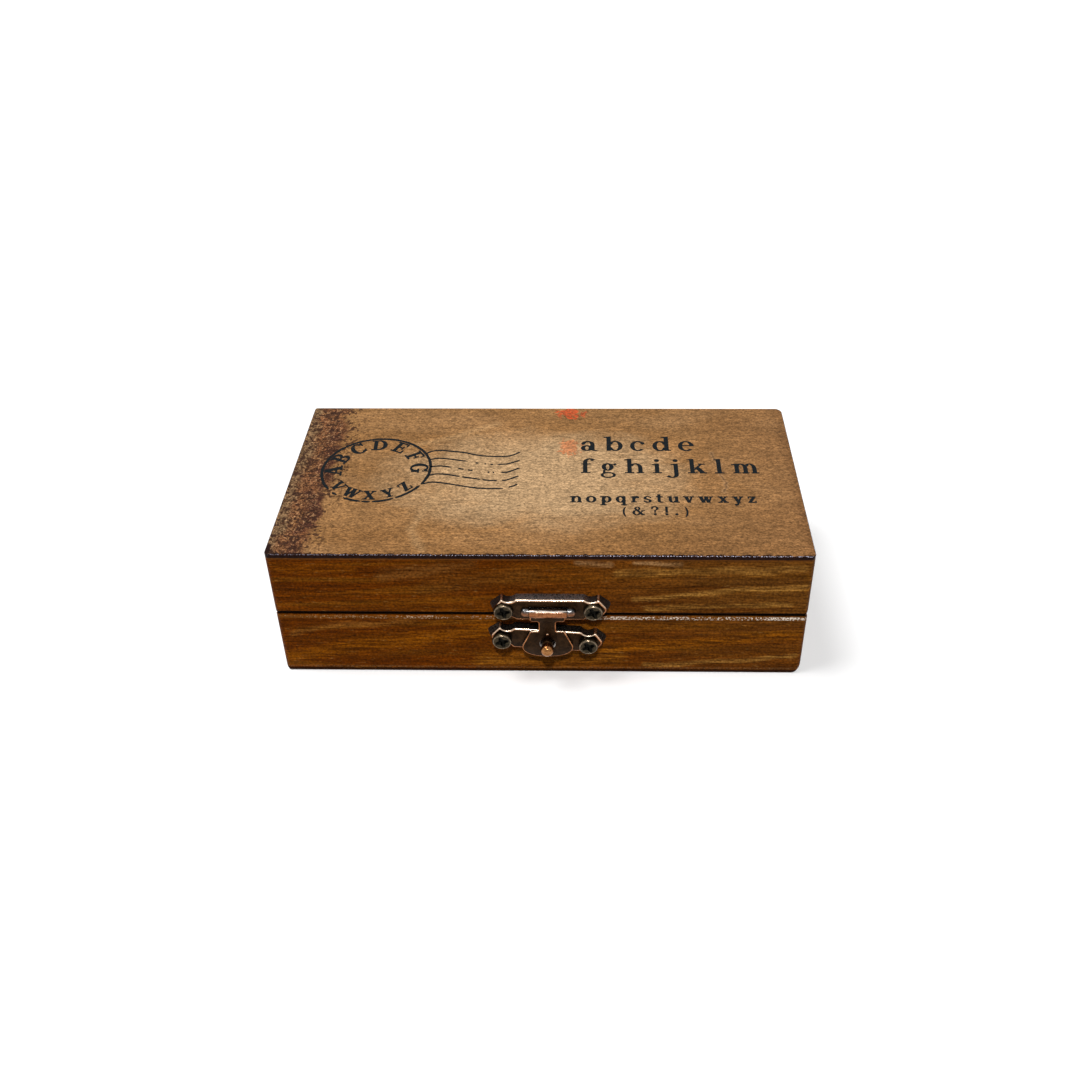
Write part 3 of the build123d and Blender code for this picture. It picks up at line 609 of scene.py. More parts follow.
class Shape:
    """A mesh in the making. place turns a piece's own (u, v, w) into the box's x, y and z."""

    def __init__(self, place):
        self.place = place
        self.points = []
        self.faces = []
        self.slots = []

    def loop(self, outline, w):
        """Adds an outline's points at a height."""
        first = len(self.points)
        self.points += [self.place(point[0], point[1], w) for point in outline]
        return list(range(first, len(self.points)))

    def face(self, corners, slot):
        self.faces.append(corners)
        self.slots.append(slot)

    def walls(self, lower, upper, slot):
        """Quads between two closed loops. slot may be a list with one for each side."""
        for number in range(len(lower)):
            following = (number + 1) % len(lower)
            side = slot[number] if isinstance(slot, list) else slot
            self.face((lower[number], lower[following], upper[following], upper[number]), side)

    def fill(self, outlines, w, slot, holes=()):
        points, triangles = covered(outlines, holes)
        corners = self.loop(points, w)
        for triangle in triangles:
            self.face([corners[number] for number in triangle], slot)

    def climb(self, outline, levels, slots):
        """Walls through levels, each a height and an inset."""
        loops = [self.loop(inset(outline, amount), w) for w, amount in levels]
        for lower, upper, slot in zip(loops, loops[1:], slots):
            self.walls(lower, upper, slot)
        return loops

    def slab(self, outlines, low, high, slot=0):
        """A thin closed solid over some outlines, which may overlap."""
        points, triangles = covered(outlines)
        lower = self.loop(points, low)
        upper = self.loop(points, high)
        sides = set()
        for triangle in triangles:
            self.face([upper[number] for number in triangle], slot)
            self.face([lower[number] for number in reversed(triangle)], slot)
            sides.update((triangle[step - 1], triangle[step]) for step in range(len(triangle)))
        for start, end in sorted(sides):
            if (end, start) not in sides:
                self.face((lower[start], lower[end], upper[end], upper[start]), slot)

    def lathe(self, centre, axis, profile, slots, steps=32, ring=False):
        """A turned form. profile has places along the axis and radii, and a ring's profile is closed."""
        u, v, w = centre
        loops = []
        for far, radius in profile:
            first = len(self.points)
            for step in range(steps if radius else 1):
                a = radius * math.cos(math.tau * step / steps)
                b = radius * math.sin(math.tau * step / steps)
                place = (u + far, v + a, w + b) if axis == "u" else (u + a, v + b, w + far)
                self.points.append(self.place(*place))
            loops.append(list(range(first, len(self.points))))
        pairs = list(zip(loops, loops[1:] + loops[:1] if ring else loops[1:]))
        for (lower, upper), slot in zip(pairs, slots if isinstance(slots, list) else [slots] * len(pairs)):
            for step in range(steps):
                following = (step + 1) % steps
                if len(lower) == 1:
                    self.face((lower[0], upper[following], upper[step]), slot)
                elif len(upper) == 1:
                    self.face((lower[step], lower[following], upper[0]), slot)
                else:
                    self.face((lower[step], lower[following], upper[following], upper[step]), slot)

    def piece(self, name, body, materials, slot=None, replaced=()):
        """Welds the mesh, turns its faces outwards and makes it ride on a body."""
        mesh = bpy.data.meshes.new(name)
        work = bmesh.new()
        vertices = [work.verts.new(Vector(point) * MM) for point in self.points]
        for corners, number in zip(self.faces, self.slots):
            face = work.faces.new([vertices[corner] for corner in corners])
            face.material_index = number
            face.smooth = True
        bmesh.ops.remove_doubles(work, verts=work.verts, dist=WELD)
        bmesh.ops.dissolve_degenerate(work, edges=work.edges, dist=WELD / 2)
        bmesh.ops.recalc_face_normals(work, faces=work.faces)
        work.to_mesh(mesh)
        work.free()
        for material in materials:
            mesh.materials.append(material)
        mesh.set_sharp_from_angle(angle=SHARP_ANGLE)
        made = add_object(name, mesh)
        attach(made, body)
        if replaced:
            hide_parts(*replaced)


def round_over(height, radius):
    """Levels of a rounded upper edge, as heights and insets."""
    turns = [math.pi / 2 * step / ROUND_STEPS for step in range(ROUND_STEPS + 1)]
    return [(height - radius + radius * math.sin(turn), radius * (1 - math.cos(turn))) for turn in turns]


# Latch plates, pressed from sheet

FRONT_Y = box_mm("lid_front_wall")[0].y
PLATE_LENGTH = 26.8
PLATE_HEIGHT = 6.0
PLATE_DEPTH = 2.4
TIP_FLARE = 1.35
TIP_BEVEL = 2.2
TIP_ROUND = 1.3
DIP_WIDTH = 3.3
DIP_STEPS = 6
DIP_END_ROUND = 0.9
CORNER_ROUND = 0.35
EDGE_ROUND = 0.36
WINDOW_ROUND, WINDOW_LIP, WINDOW_FLOOR = 0.3, 0.12, 0.5
LOWER_TILT = math.radians(-4.5)
ON_FACE, ON_EDGE, ON_SKIRT, ON_DOME = range(4)

PIN = middle_mm("latch_flap_pin")
PIN_OFF = FRONT_Y - PIN.y
STUD = middle_mm("latch_stud")
STUD_TIP = FRONT_Y - box_mm("latch_stud")[0].y
LOWER = middle_mm("latch_lower_plate")


def on_front(x, z, tilt=0.0):
    """Places on the front wall: u to the right, v up and w off the wood."""
    cos, sin = math.cos(tilt), math.sin(tilt)
    return lambda u, v, w: (x + u * cos - v * sin, FRONT_Y - w, z + u * sin + v * cos)


def plate_outline(tip, dip):
    """The plate's outline, and the skirt's or the worn edge's material for each of its sides."""
    half = PLATE_HEIGHT / 2
    corner = PLATE_LENGTH / 2 - TIP_BEVEL
    radius = ((DIP_WIDTH / 2) ** 2 + dip ** 2) / (2 * dip)
    reach = math.asin(DIP_WIDTH / 2 / radius)
    side = [(corner, half, CORNER_ROUND)]
    for step in range(1, DIP_STEPS):
        turn = reach - 2 * reach * step / DIP_STEPS
        middle = corner - DIP_WIDTH / 2
        side.append((middle + radius * math.sin(turn), half - dip + radius * (1 - math.cos(turn)), 0))
    side.append((corner - DIP_WIDTH, half, DIP_END_ROUND))
    upper = [(tip, 0, TIP_ROUND), *side, *[(-u, v, bend) for u, v, bend in reversed(side)]]
    marks = []
    points = rounded(upper + [(-u, -v, bend) for u, v, bend in upper], 4, marks)
    return points, [ON_EDGE if mark == CORNER_ROUND else ON_SKIRT for mark in marks]


def plate_shape(x, z, tilt, dip, window=None):
    """A pressed plate with flared tips and a rounded front edge. A window is (u, v, width, height)."""
    shape = Shape(on_front(x, z, tilt))
    foot, slots = plate_outline(PLATE_LENGTH / 2 + TIP_FLARE, dip)
    front, _ = plate_outline(PLATE_LENGTH / 2, dip)
    shape.fill([foot], 0, ON_SKIRT)
    loops = shape.climb(front, round_over(PLATE_DEPTH, EDGE_ROUND), [ON_EDGE] * ROUND_STEPS)
    shape.walls(shape.loop(foot, 0), loops[0], slots)
    holes = []
    if window:
        u, v, width, height = window
        ends = ((-1, -1), (1, -1), (1, 1), (-1, 1))
        opening = rounded([(u + a * width / 2, v + b * height / 2, WINDOW_ROUND) for a, b in ends], 4)
        holes = [inset(opening, -WINDOW_LIP)]
        levels = [(PLATE_DEPTH, 0), (PLATE_DEPTH - WINDOW_LIP, WINDOW_LIP), (WINDOW_FLOOR, WINDOW_LIP)]
        shape.climb(holes[0], levels, [ON_EDGE, ON_SKIRT])
        shape.fill([opening], WINDOW_FLOOR, ON_SKIRT)
    shape.fill([inset(front, EDGE_ROUND)], PLATE_DEPTH, ON_FACE, holes)
    return shape


# The upper plate has a window for the flap's curl, and ears pressed out of its face that hold the pin
EAR_RADIUS = 1.1
EAR_LENGTH = 1.9
EAR_DOME = 0.95
EAR_OFF = PLATE_DEPTH + 0.2
EAR_STEPS = 7
UPPER_DIP, LOWER_DIP = 0.75, 1.0
CURL_LENGTH = 8.8
CURL_RADIUS = 1.2

pin_place = (PIN.x - UPPER.x, PIN.z - UPPER.z)
window = (*pin_place, CURL_LENGTH + 0.3, 2 * CURL_RADIUS + 0.1)
upper_plate = plate_shape(UPPER.x, UPPER.z, 0, UPPER_DIP, window)
ear = [(0, 0), (0, EAR_RADIUS)]
for step in range(EAR_STEPS):
    turn = math.pi / 2 * step / EAR_STEPS
    ear.append((EAR_LENGTH - EAR_DOME + EAR_DOME * math.sin(turn), EAR_RADIUS * math.cos(turn)))
ear.append((EAR_LENGTH, 0))
for end in (-1, 1):
    start = pin_place[0] + end * (CURL_LENGTH / 2 + 0.1)
    upper_plate.lathe((start, pin_place[1], EAR_OFF), "u", [(end * far, wide) for far, wide in ear], ON_DOME)
for side, plate, body, skirt in (
    ("upper", upper_plate, "lid", LONG_SKIRT),
    ("lower", plate_shape(LOWER.x, LOWER.z, LOWER_TILT, LOWER_DIP), "base", SKIRT),
):
    metals = [FACE, EDGE, skirt, DOME]
    plate.piece(f"{side}_latch_plate", body, metals, "latch_bronze", [f"latch_{side}_plate"])


# Screws

def cross_outline(u, v, length, width, turn):
    """A cross recess with a wide middle, turned."""
    tip, half, root = length / 2, width * 0.4, width * 0.72
    quarter = [(tip, -half), (tip, half), (root, root)]
    points = []
    for number in range(4):
        angle = turn + number * math.pi / 2
        cos, sin = math.cos(angle), math.sin(angle)
        points += [Vector((u + a * cos - b * sin, v + a * sin + b * cos)) for a, b in quarter]
    return points


def add_screw(shape, u, v, seat, turn, head, shank):
    """A pan head screw. head has a radius and height, and its recess's length, width and depth."""
    radius, height, length, width, depth = head
    shank_radius, shank_length, tip = shank
    brim, face = 0.86 * radius, 0.80 * radius
    dish = 0.07 * height
    profile = [
        (-shank_length, 0), (tip - shank_length, shank_radius), (0, shank_radius), (0, 0.95 * radius),
        (0.12 * height, radius), (0.42 * height, radius), (0.66 * height, 0.975 * radius),
        (0.86 * height, 0.93 * radius), (height, brim), (height, 0.82 * radius), (height - dish, face),
    ]
    shape.lathe((u, v, seat), "w", profile, [0, 0, 0, 0, 0, 0, 0, 1, 1, 1])
    floor = height - depth
    mouth = cross_outline(u, v, length, width, turn)
    bottom = cross_outline(u, v, length * 0.5, width * 0.62, turn)
    shape.fill([circle(u, v, face)], seat + height - dish, 0, [mouth])
    shape.walls(shape.loop(bottom, seat + floor), shape.loop(mouth, seat + height - dish), 2)
    shape.fill([bottom], seat + floor, 2)


LATCH_HEAD = (2.33, 1.1, 3.1, 0.85, 0.75)
LATCH_SHANK = (0.85, 6.0, 1.0)
UPPER_SEAT, LOWER_SEAT = 2.2, 3.0
for side, middle, tilt, seat, body, places in (
    ("upper", UPPER, 0.0, UPPER_SEAT, "lid", ((-10.8, -0.2, 15), (10.0, -0.2, 24))),
    ("lower", LOWER, LOWER_TILT, LOWER_SEAT, "base", ((-10.5, -0.1, 22), (9.8, 0, 33))),
):
    screws = Shape(on_front(middle.x, middle.z, tilt))
    for u, v, turn in places:
        add_screw(screws, u, v, seat, math.radians(turn), LATCH_HEAD, LATCH_SHANK)
    screws.piece(f"{side}_pan_screws", body, [HEAD, RIM, SHADED_RECESS], "screw_bronze", [f"latch_{side}_screws"])


# Flap: a sheet with a bevelled rim and hole, curled round its pin at the top

SHEET = 0.5
SHEET_BACK = PIN_OFF - SHEET / 2
SHEET_FRONT = PIN_OFF + SHEET / 2
RIM_BEVEL = 0.22
BACK_BEVEL = 0.1
HOLE_DROP = PIN.z - STUD.z + 0.25
HOLE_RADIUS = 1.6
HOLE_MOUTH = 1.9
NECK = 2.0
SHEET_LEAN = -0.25
SHOULDER = 4.15
SHOULDER_DROP = 2.5
BODY_TOP = -HOLE_DROP + 3.8
WIDEST = -HOLE_DROP - 1.1
BOTTOM = -HOLE_DROP - 4.25
WIDE = 6.0
BELLY = 2.3
BELLY_STEPS = 12

right_side = [
    (SHOULDER, -0.3, 0), (SHOULDER, -SHOULDER_DROP, 0.7), (NECK, -SHOULDER_DROP, 0.5),
    (NECK, BODY_TOP, 0.25), (3.95, BODY_TOP, 0.7), (5.85, WIDEST + 0.6, 0), (WIDE, WIDEST, 0),
]
for step in range(1, BELLY_STEPS):
    share = math.sin(math.pi / 2 * step / BELLY_STEPS)
    right_side.append((WIDE * (1 - share ** BELLY) ** (1 / BELLY), WIDEST + (BOTTOM - WIDEST) * share, 0))
flap_corners = [(-u, v, bend) for u, v, bend in right_side] + [(0, BOTTOM, 0)] + right_side[::-1]
flap_corners = [(u + SHEET_LEAN * min(1, -v / SHOULDER_DROP), v, bend) for u, v, bend in flap_corners]
flap_outline = rounded(flap_corners, 6)
flap = Shape(on_front(PIN.x, PIN.z))
hole_back = circle(SHEET_LEAN, -HOLE_DROP, HOLE_RADIUS, 48)
hole_front = circle(SHEET_LEAN, -HOLE_DROP, HOLE_MOUTH, 48)
flap_levels = [
    (SHEET_BACK, BACK_BEVEL), (SHEET_BACK + BACK_BEVEL, 0), (SHEET_FRONT - 0.14, 0),
    (SHEET_FRONT - 0.05, 0.06), (SHEET_FRONT, RIM_BEVEL),
]
flap.climb(flap_outline, flap_levels, [1] * 4)
flap.fill([inset(flap_outline, BACK_BEVEL)], SHEET_BACK, 0, [hole_back])
flap.fill([inset(flap_outline, RIM_BEVEL)], SHEET_FRONT, 0, [hole_front])
hole_steps = [
    flap.loop(hole_back, SHEET_BACK),
    flap.loop(hole_back, SHEET_BACK + 0.15),
    flap.loop(circle(SHEET_LEAN, -HOLE_DROP, HOLE_RADIUS + 0.2, 48), SHEET_FRONT - 0.08),
    flap.loop(hole_front, SHEET_FRONT),
]
for lower, upper in zip(hole_steps, hole_steps[1:]):
    flap.walls(lower, upper, 2)
half_curl = CURL_LENGTH / 2
PIN_HOLE = 0.5
curl = mirrored([
    (-half_curl, PIN_HOLE), (-half_curl, 0.92), (-half_curl + 0.08, 1.04), (-half_curl + 0.3, 1.12),
    (-half_curl * 0.6, 1.17), (0, CURL_RADIUS),
])
flap.lathe((0, 0, PIN_OFF), "u", curl, 3, 40, ring=True)
dimple = [(-0.1, 0), (0, 0.3), (0.12, 0.26), (0.2, 0.14), (0.24, 0)]
flap.lathe((SHEET_LEAN, -HOLE_DROP + 2.85, SHEET_FRONT - 0.1), "w", dimple, 1, 14)
flap.piece("curled_flap", "latch_flap", [FACE, EDGE, BEVEL, CURL], "latch_bronze", ["latch_flap"])

flap_pin = Shape(on_front(PIN.x, PIN.z))
pin_half = box_mm("latch_flap_pin")[1].x - PIN.x
pin_profile = mirrored([(-pin_half, 0), (-pin_half, 0.33), (-pin_half + 0.12, 0.45)])
flap_pin.lathe((0, 0, PIN_OFF), "u", pin_profile, 0, 20)
flap_pin.piece("curl_pin", "lid", [SKIRT], "latch_bronze", ["latch_flap_pin"])

# Stud: a foot behind the sheet, a collar, a groove and the ball that the flap drops over
BALL_RADIUS = 1.58
BALL_OFF = STUD_TIP + 0.15 - BALL_RADIUS
BALL_STEPS = 12
GROOVE = 0.92
stud_profile = [
    (1.5, 0), (1.5, 1.7), (1.9, 1.7), (1.9, 1.15), (PLATE_DEPTH, 1.15), (PLATE_DEPTH, 1.5), (2.75, 1.5),
    (2.9, 1.35), (4.0, 1.35), (4.22, 1.3), (4.38, 1.12), (4.45, 0.95), (4.75, GROOVE),
]
ball_start = math.asin(GROOVE / BALL_RADIUS)
for step in range(BALL_STEPS + 1):
    turn = ball_start + (math.pi - ball_start - 0.3) * step / BALL_STEPS
    stud_profile.append((BALL_OFF - BALL_RADIUS * math.cos(turn), BALL_RADIUS * math.sin(turn)))
stud_profile.append((STUD_TIP, 0))
stud = Shape(on_front(STUD.x - 0.25, STUD.z + 0.1))
stud.lathe((0, 0, 0), "w", stud_profile, [0] * 12 + [1] * 14, 36)
stud.piece("ball_stud", "base", [FACE, BALL], "stud_copper", ["latch_stud"])


# Hinges on the back wall: a base leaf with two knuckles, a lid leaf with one, and the pin

BACK_Y = box_mm("lid_back_wall")[1].y
LEAF_SHEET = 0.5
LEAF_BEVEL = 0.14
LEAF_CORNER = 0.8
TAB_ROUND = 0.15
KNUCKLE_RADIUS = 1.2
KNUCKLE_GAP = 0.15
HINGE_HEAD = (1.35, 0.45, 1.8, 0.42, 0.3)
HINGE_SHANK = (0.6, 4.3, 0.8)
HINGE_SCREW_U, HINGE_SCREW_V = 4.5, 4.8
hinge_screws = {}
for side in ("left", "right"):
    low, high = box_mm(f"{side}_hinge_pin")
    middle = (low + high) / 2
    half_length = (high.x - low.x) / 2
    on_back = lambda u, v, w, middle=middle: (middle.x - u, BACK_Y + w, middle.z + v)
    pin_off = middle.y - BACK_Y
    knuckle = (2 * half_length - 2 * KNUCKLE_GAP) / 3
    start = KNUCKLE_RADIUS + KNUCKLE_GAP
    for body, direction in (("base", -1), ("lid", 1)):
        node = f"{side}_hinge_{body}_leaf"
        low, high = box_mm(node)
        if direction < 0:
            reach, ends, centre, inner = middle.z - low.z, 0, start, knuckle / 2 + KNUCKLE_GAP
            knuckles = (-knuckle - KNUCKLE_GAP, knuckle + KNUCKLE_GAP)
        else:
            reach, ends, centre, inner = high.z - middle.z, start, 0, knuckle / 2
            knuckles = (0,)
        tab = [(-half_length, ends, TAB_ROUND if ends else 0), (-inner, ends, 0)]
        tab.append((-inner, centre, TAB_ROUND if centre else 0))
        corners = tab + [(-u, v, bend) for u, v, bend in reversed(tab)]
        corners += [(half_length, reach, LEAF_CORNER), (-half_length, reach, LEAF_CORNER)]
        if direction < 0:
            corners = [(u, -v, bend) for u, v, bend in reversed(corners)]
        outline = rounded(corners, 5)
        shape = Shape(on_back)
        levels = [(0, 0), (LEAF_SHEET - 0.12, 0), (LEAF_SHEET - 0.04, 0.05), (LEAF_SHEET, LEAF_BEVEL)]
        shape.climb(outline, levels, [1, 1, 1])
        shape.fill([outline], 0, 0)
        shape.fill([inset(outline, LEAF_BEVEL)], LEAF_SHEET, 0)
        half = knuckle / 2
        end = [(-half, 0.7), (-half, 1.02), (-half + 0.07, 1.14), (-half + 0.22, KNUCKLE_RADIUS)]
        for place in knuckles:
            shape.lathe((place, 0, pin_off), "u", mirrored(end), [1, 1, 1, 0, 1, 1, 1, 0], 36, ring=True)
        shape.piece(f"{side}_{body}_leaf", body, [HINGE, HINGE_EDGE], "hinge_bronze", [node])
        screws = hinge_screws.setdefault(body, Shape(None))
        screws.place = on_back
        for end in (-1, 1):
            turn = math.radians(20 + 37 * end + 11 * direction + middle.x)
            place = end * HINGE_SCREW_U, direction * HINGE_SCREW_V
            add_screw(screws, *place, LEAF_SHEET, turn, HINGE_HEAD, HINGE_SHANK)
    pin = Shape(on_back)
    profile = mirrored([(-half_length, 0), (-half_length + 0.05, 0.4), (-half_length + 0.2, 0.65)])
    pin.lathe((0, 0, pin_off), "u", profile, 0, 24)
    pin.piece(f"{side}_butt_pin", "base", [HINGE_EDGE], "hinge_bronze", [f"{side}_hinge_pin"])
hinge_metals = [HINGE, HINGE_EDGE, SHADED_RECESS]
for body, screws in hinge_screws.items():
    screws.piece(f"{body}_leaf_screws", body, hinge_metals, "screw_bronze", [f"hinge_{body}_screws"])


# Stamps

def plain_material(name, colour, roughness, scale, low=0.75, high=1.2, relief=0.04):
    """A matt colour with a fine grain and faint clouds."""
    material, tree, shader = new_material(name)
    grain = noise(tree, scale, 3, 0.6, 0.3)
    cloud = noise(tree, (0.09, 0.09, 0.04))
    colour = shade(shade(colour, grain, low, high), cloud, 0.85, 1.15)
    return finish(material, shader, colour, roughness, bump(grain, relief, 0.6), 0.3)


use(plain_material("stamp wood", (0.50, 0.32, 0.165), 0.6, (1.6, 1.6, 0.12)), *STAMPS)
use(plain_material("stamp foam", (0.55, 0.55, 0.50), 0.95, [2.4] * 3, 0.6, 1.25, 0.15), "stamp_cushions")
use(plain_material("stamp rubber", (0.23, 0.045, 0.035), 0.55, [1.2] * 3), "stamp_dies")


# Print: letters as thin solids of ink

STEM = 0.25
HAIR = 0.095


def stem(x, low, high, width=STEM):
    """An upright stroke, centred on x."""
    return [[(x - width / 2, low), (x + width / 2, low), (x + width / 2, high), (x - width / 2, high)]]


def serif(x, y, width=0.56):
    """A thin level foot or cap, centred on x, that rises from y."""
    return [[(x - width / 2, y), (x + width / 2, y), (x + width / 2, y + HAIR), (x - width / 2, y + HAIR)]]


def flag(x, y, reach=0.3):
    """The slanted serif at the top left of a stem."""
    return [[(x, y), (x, y - 0.14), (x - reach, y - 0.13), (x - reach, y - 0.06)]]


def bar(x0, y0, x1, y1, width):
    """A slanting stroke, cut level at its ends. width is measured level."""
    half = width / 2
    return [[(x0 - half, y0), (x0 + half, y0), (x1 + half, y1), (x1 - half, y1)]]


def bowl(x, y, wide, high, start=0, sweep=360, thick=STEM, thin=HAIR):
    """An oval stroke, thick at its sides and thin at its top and foot."""
    pieces = max(1, math.ceil(abs(sweep) / 180))
    polygons = []
    for piece in range(pieces):
        turns = [math.radians(start + sweep * (piece + step / 12) / pieces) for step in range(13)]
        outer = [(x + wide * math.cos(a), y + high * math.sin(a)) for a in turns]
        inner = [(x + (wide - thick) * math.cos(a), y + (high - thin) * math.sin(a)) for a in turns]
        polygons.append(outer + inner[::-1])
    return polygons


def dot(x, y, radius=0.15):
    turns = [math.radians(30 * step) for step in range(12)]
    return [[(x + radius * math.cos(a), y + radius * math.sin(a)) for a in turns]]


# Each glyph for an x-height of 1: its width and its strokes, each a kind and that function's measures
STROKES = {"I": stem, "_": serif, "'": flag, "/": bar, "O": bowl, ".": dot}
GLYPHS = {
    "a": (1, "O .36 .27 .36 .3, I .68 .08 .66, O .4 .64 .405 .38 0 155, . .13 .73 .11, "
          "O .86 .17 .3 .2 185 110 .22 .1"),
    "b": (1.02, "I .2 0 1.5, ' .2 1.5, O .58 .5 .44 .53 -160 320"),
    "c": (0.88, "O .46 .5 .46 .53 50 265, . .74 .78 .12"),
    "d": (1.06, "I .82 0 1.5, ' .82 1.5, _ .94 0 .24, O .44 .5 .44 .53 20 320"),
    "e": (0.94, "O .47 .5 .47 .53 0 318, _ .48 .5 .76"),
    "f": (0.72, "I .3 0 1.2, O .58 1.16 .405 .38 180 -145, . .72 1.38 .11, _ .34 0, _ .34 .9"),
    "g": (0.96, "O .42 .64 .36 .39, O .45 -.2 .45 .3 0 360 .16 .095, / .2 .3 .2 .02 .14, "
          "/ .74 .96 .96 .96 .02, . .86 .9 .1, / .62 .86 .8 .95 .12"),
    "h": (1.1, "I .26 0 1.5, ' .26 1.5, _ .26 0, O 0.62 0.52 0.42 0.51 0 150, I .915 0 .56, _ .915 0 .42"),
    "i": (0.56, "I .3 0 1, ' .3 1, _ .3 0, . .3 1.32"),
    "j": (0.56, "I .36 -.2 1, ' .36 1, . .36 1.32, O .08 -.18 .405 .3 0 -150, . -.1 -.34 .1"),
    "k": (1.08, "I .26 0 1.5, ' .26 1.5, _ .26 0, / .38 .36 .82 .95 .15, / .56 .6 .88 .04 .3, _ .9 0 .42, "
          "_ .84 .91 .4"),
    "l": (0.56, "I .28 0 1.5, ' .28 1.5, _ .28 0"),
    "m": (1.62, "I .26 0 1, ' .26 1, _ .26 0 .46, O .52 .52 .385 .51 0 150, I .78 0 .56, _ .78 0 .42, "
          "O 1.06 .52 .385 .51 0 150, I 1.32 0 .56, _ 1.34 0 .46"),
    "n": (1.1, "I .26 0 1, ' .26 1, _ .26 0, O 0.62 0.52 0.42 0.51 0 150, I .915 0 .56, _ .915 0 .42"),
    "o": (1, "O 0.5 0.5 0.5 0.53"),
    "p": (1.04, "I .24 -.48 1, ' .24 1, _ .24 -.48, O .6 .5 .44 .53 -160 320"),
    "q": (1.04, "I .8 -.48 1, _ .8 -.48, O .44 .5 .44 .53 20 320"),
    "r": (0.78, "I .26 0 1, ' .26 1, _ .28 0, O .56 .52 .34 .51 60 100, . .67 .84 .13"),
    "s": (0.76, "O .38 .75 .36 .28 40 215 .2 .095, O .38 .25 .38 .28 90 -235 .22 .095, "
          "/ .16 .62 .58 .38 .3, _ .68 .76 .08, _ .06 .16 .08"),
    "t": (0.72, "I .3 .2 1.34, O .5 .24 .325 .26 180 130, _ .34 .9 .62"),
    "u": (1.1, "I .22 .4 1, ' .22 1, O .5 .46 .405 .48 180 150, I .86 0 1, ' .86 1 .26, _ .98 0 .26"),
    "v": (1, "/ .22 .96 .52 0 .29, / .82 .96 .54 0 .12, _ .22 .91 .5, _ .82 .91 .38"),
    "w": (1.46, "/ .2 .96 .48 0 .29, / .74 .96 .5 0 .12, / .74 .96 1 0 .29, / 1.28 .96 1.02 0 .12, "
          "_ .2 .91 .46, _ .78 .91 .4, _ 1.28 .91 .36"),
    "x": (1.02, "/ .24 .96 .8 .04 .3, / .8 .96 .22 .04 .13, _ .24 .91 .44, _ .8 .91 .36, _ .22 0 .38, "
          "_ .8 0 .44"),
    "y": (1, "/ .22 .96 .56 0 .29, / .84 .96 .4 -.4 .13, _ .22 .91 .5, _ .84 .91 .38, . .26 -.36 .12"),
    "z": (0.86, "_ .42 .905 .72, / .66 .94 .18 .04 .28, _ .44 0 .76, / .08 .98 .08 .72 .06, "
          "/ .8 .02 .8 .3 .06"),
    "&": (1.3, "O .52 1.08 .3 .3 0 360 .18 .095, O .44 .4 .44 .43 100 240, / .34 1 1.06 .04 .27, "
          "/ .74 .2 1.08 .72 .12, _ 1.06 0 .38, _ 1.08 .68 .36"),
    "?": (0.8, "O .4 1.12 .38 .36 160 -235 .22 .095, I .42 .42 .82 .13, . .13 1.16 .11, . .42 .14"),
    "!": (0.42, "/ .21 .42 .21 1.42 .22, . .21 .14"),
    ".": (0.42, ". .21 .14"),
    "(": (0.48, "O .58 .52 .48 .92 118 124 .17 .06"),
    ")": (0.48, "O -.1 .52 .48 .92 62 -124 .17 .06"),
    "A": (1.4, "/ .7 1.45 1.12 .04 .34, / .66 1.43 .24 .04 .13, _ .66 .42 .6, _ .24 0 .5, _ 1.12 0 .62"),
    "B": (1.22, "I .32 0 1.45, _ .3 0 .6, _ .3 1.355 .6, O .62 1.09 .44 .36 -90 180, "
          "O .62 .385 .54 .385 -90 180, _ .5 .68 .4, _ .48 0 .4, _ .48 1.355 .4"),
    "C": (1.26, "O .66 .72 .64 .76 42 276 .3 .095, / 1.14 1.46 1.14 1.02 .08, / 1.14 .42 1.14 .12 .06"),
    "D": (1.36, "I .32 0 1.45, _ .36 0 .72, _ .36 1.355 .72, O .62 .725 .7 .725 -90 180 .3 .095"),
    "E": (1.2, "I .34 0 1.45, _ .56 0 1.04, _ .56 1.355 1.04, _ .6 .7 .5, / 1.05 .02 1.05 .42 .08, "
          "/ 1.05 1.43 1.05 1.08 .08, / .84 .52 .84 .94 .07"),
    "F": (1.12, "I .34 0 1.45, _ .36 0 .66, _ .54 1.355 1, _ .6 .68 .46, / 1.01 1.43 1.01 1.08 .08, "
          "/ .82 .5 .82 .92 .07"),
    "G": (1.36, "O .66 .72 .64 .76 42 276 .3 .095, / 1.14 1.46 1.14 1.02 .08, I 1.1 .08 .66, _ 1.08 .6 .52"),
    "V": (1.4, "/ .26 1.41 .7 0 .34, / 1.12 1.41 .74 0 .13, _ .26 1.355 .58, _ 1.12 1.355 .46"),
    "W": (1.9, "/ .26 1.41 .62 0 .33, / .92 1.41 .64 0 .13, / .94 1.41 1.28 0 .33, / 1.64 1.41 1.32 0 .13, "
          "_ .26 1.355 .54, _ .96 1.355 .5, _ 1.64 1.355 .44"),
    "X": (1.36, "/ .28 1.41 1.08 .04 .36, / 1.08 1.41 .26 .04 .14, _ .28 1.355 .54, _ 1.08 1.355 .44, "
          "_ .26 0 .46, _ 1.08 0 .54"),
    "Y": (1.34, "/ .26 1.41 .66 .6 .34, / 1.1 1.41 .72 .6 .13, I .68 0 .7, _ .68 0 .6, _ .26 1.355 .54, "
          "_ 1.1 1.355 .44"),
    "Z": (1.2, "_ .6 1.355 1, _ .6 0 1.04, / .92 1.41 .28 .04 .36, / .13 1.43 .13 1.06 .08, "
          "/ 1.08 .02 1.08 .42 .08"),
}


def glyph_outlines(symbol):
    outlines = []
    for stroke_text in GLYPHS[symbol][1].split(", "):
        kind, *measures = stroke_text.split()
        outlines += STROKES[kind](*map(float, measures))
    return outlines


NARROW_END = 0.45


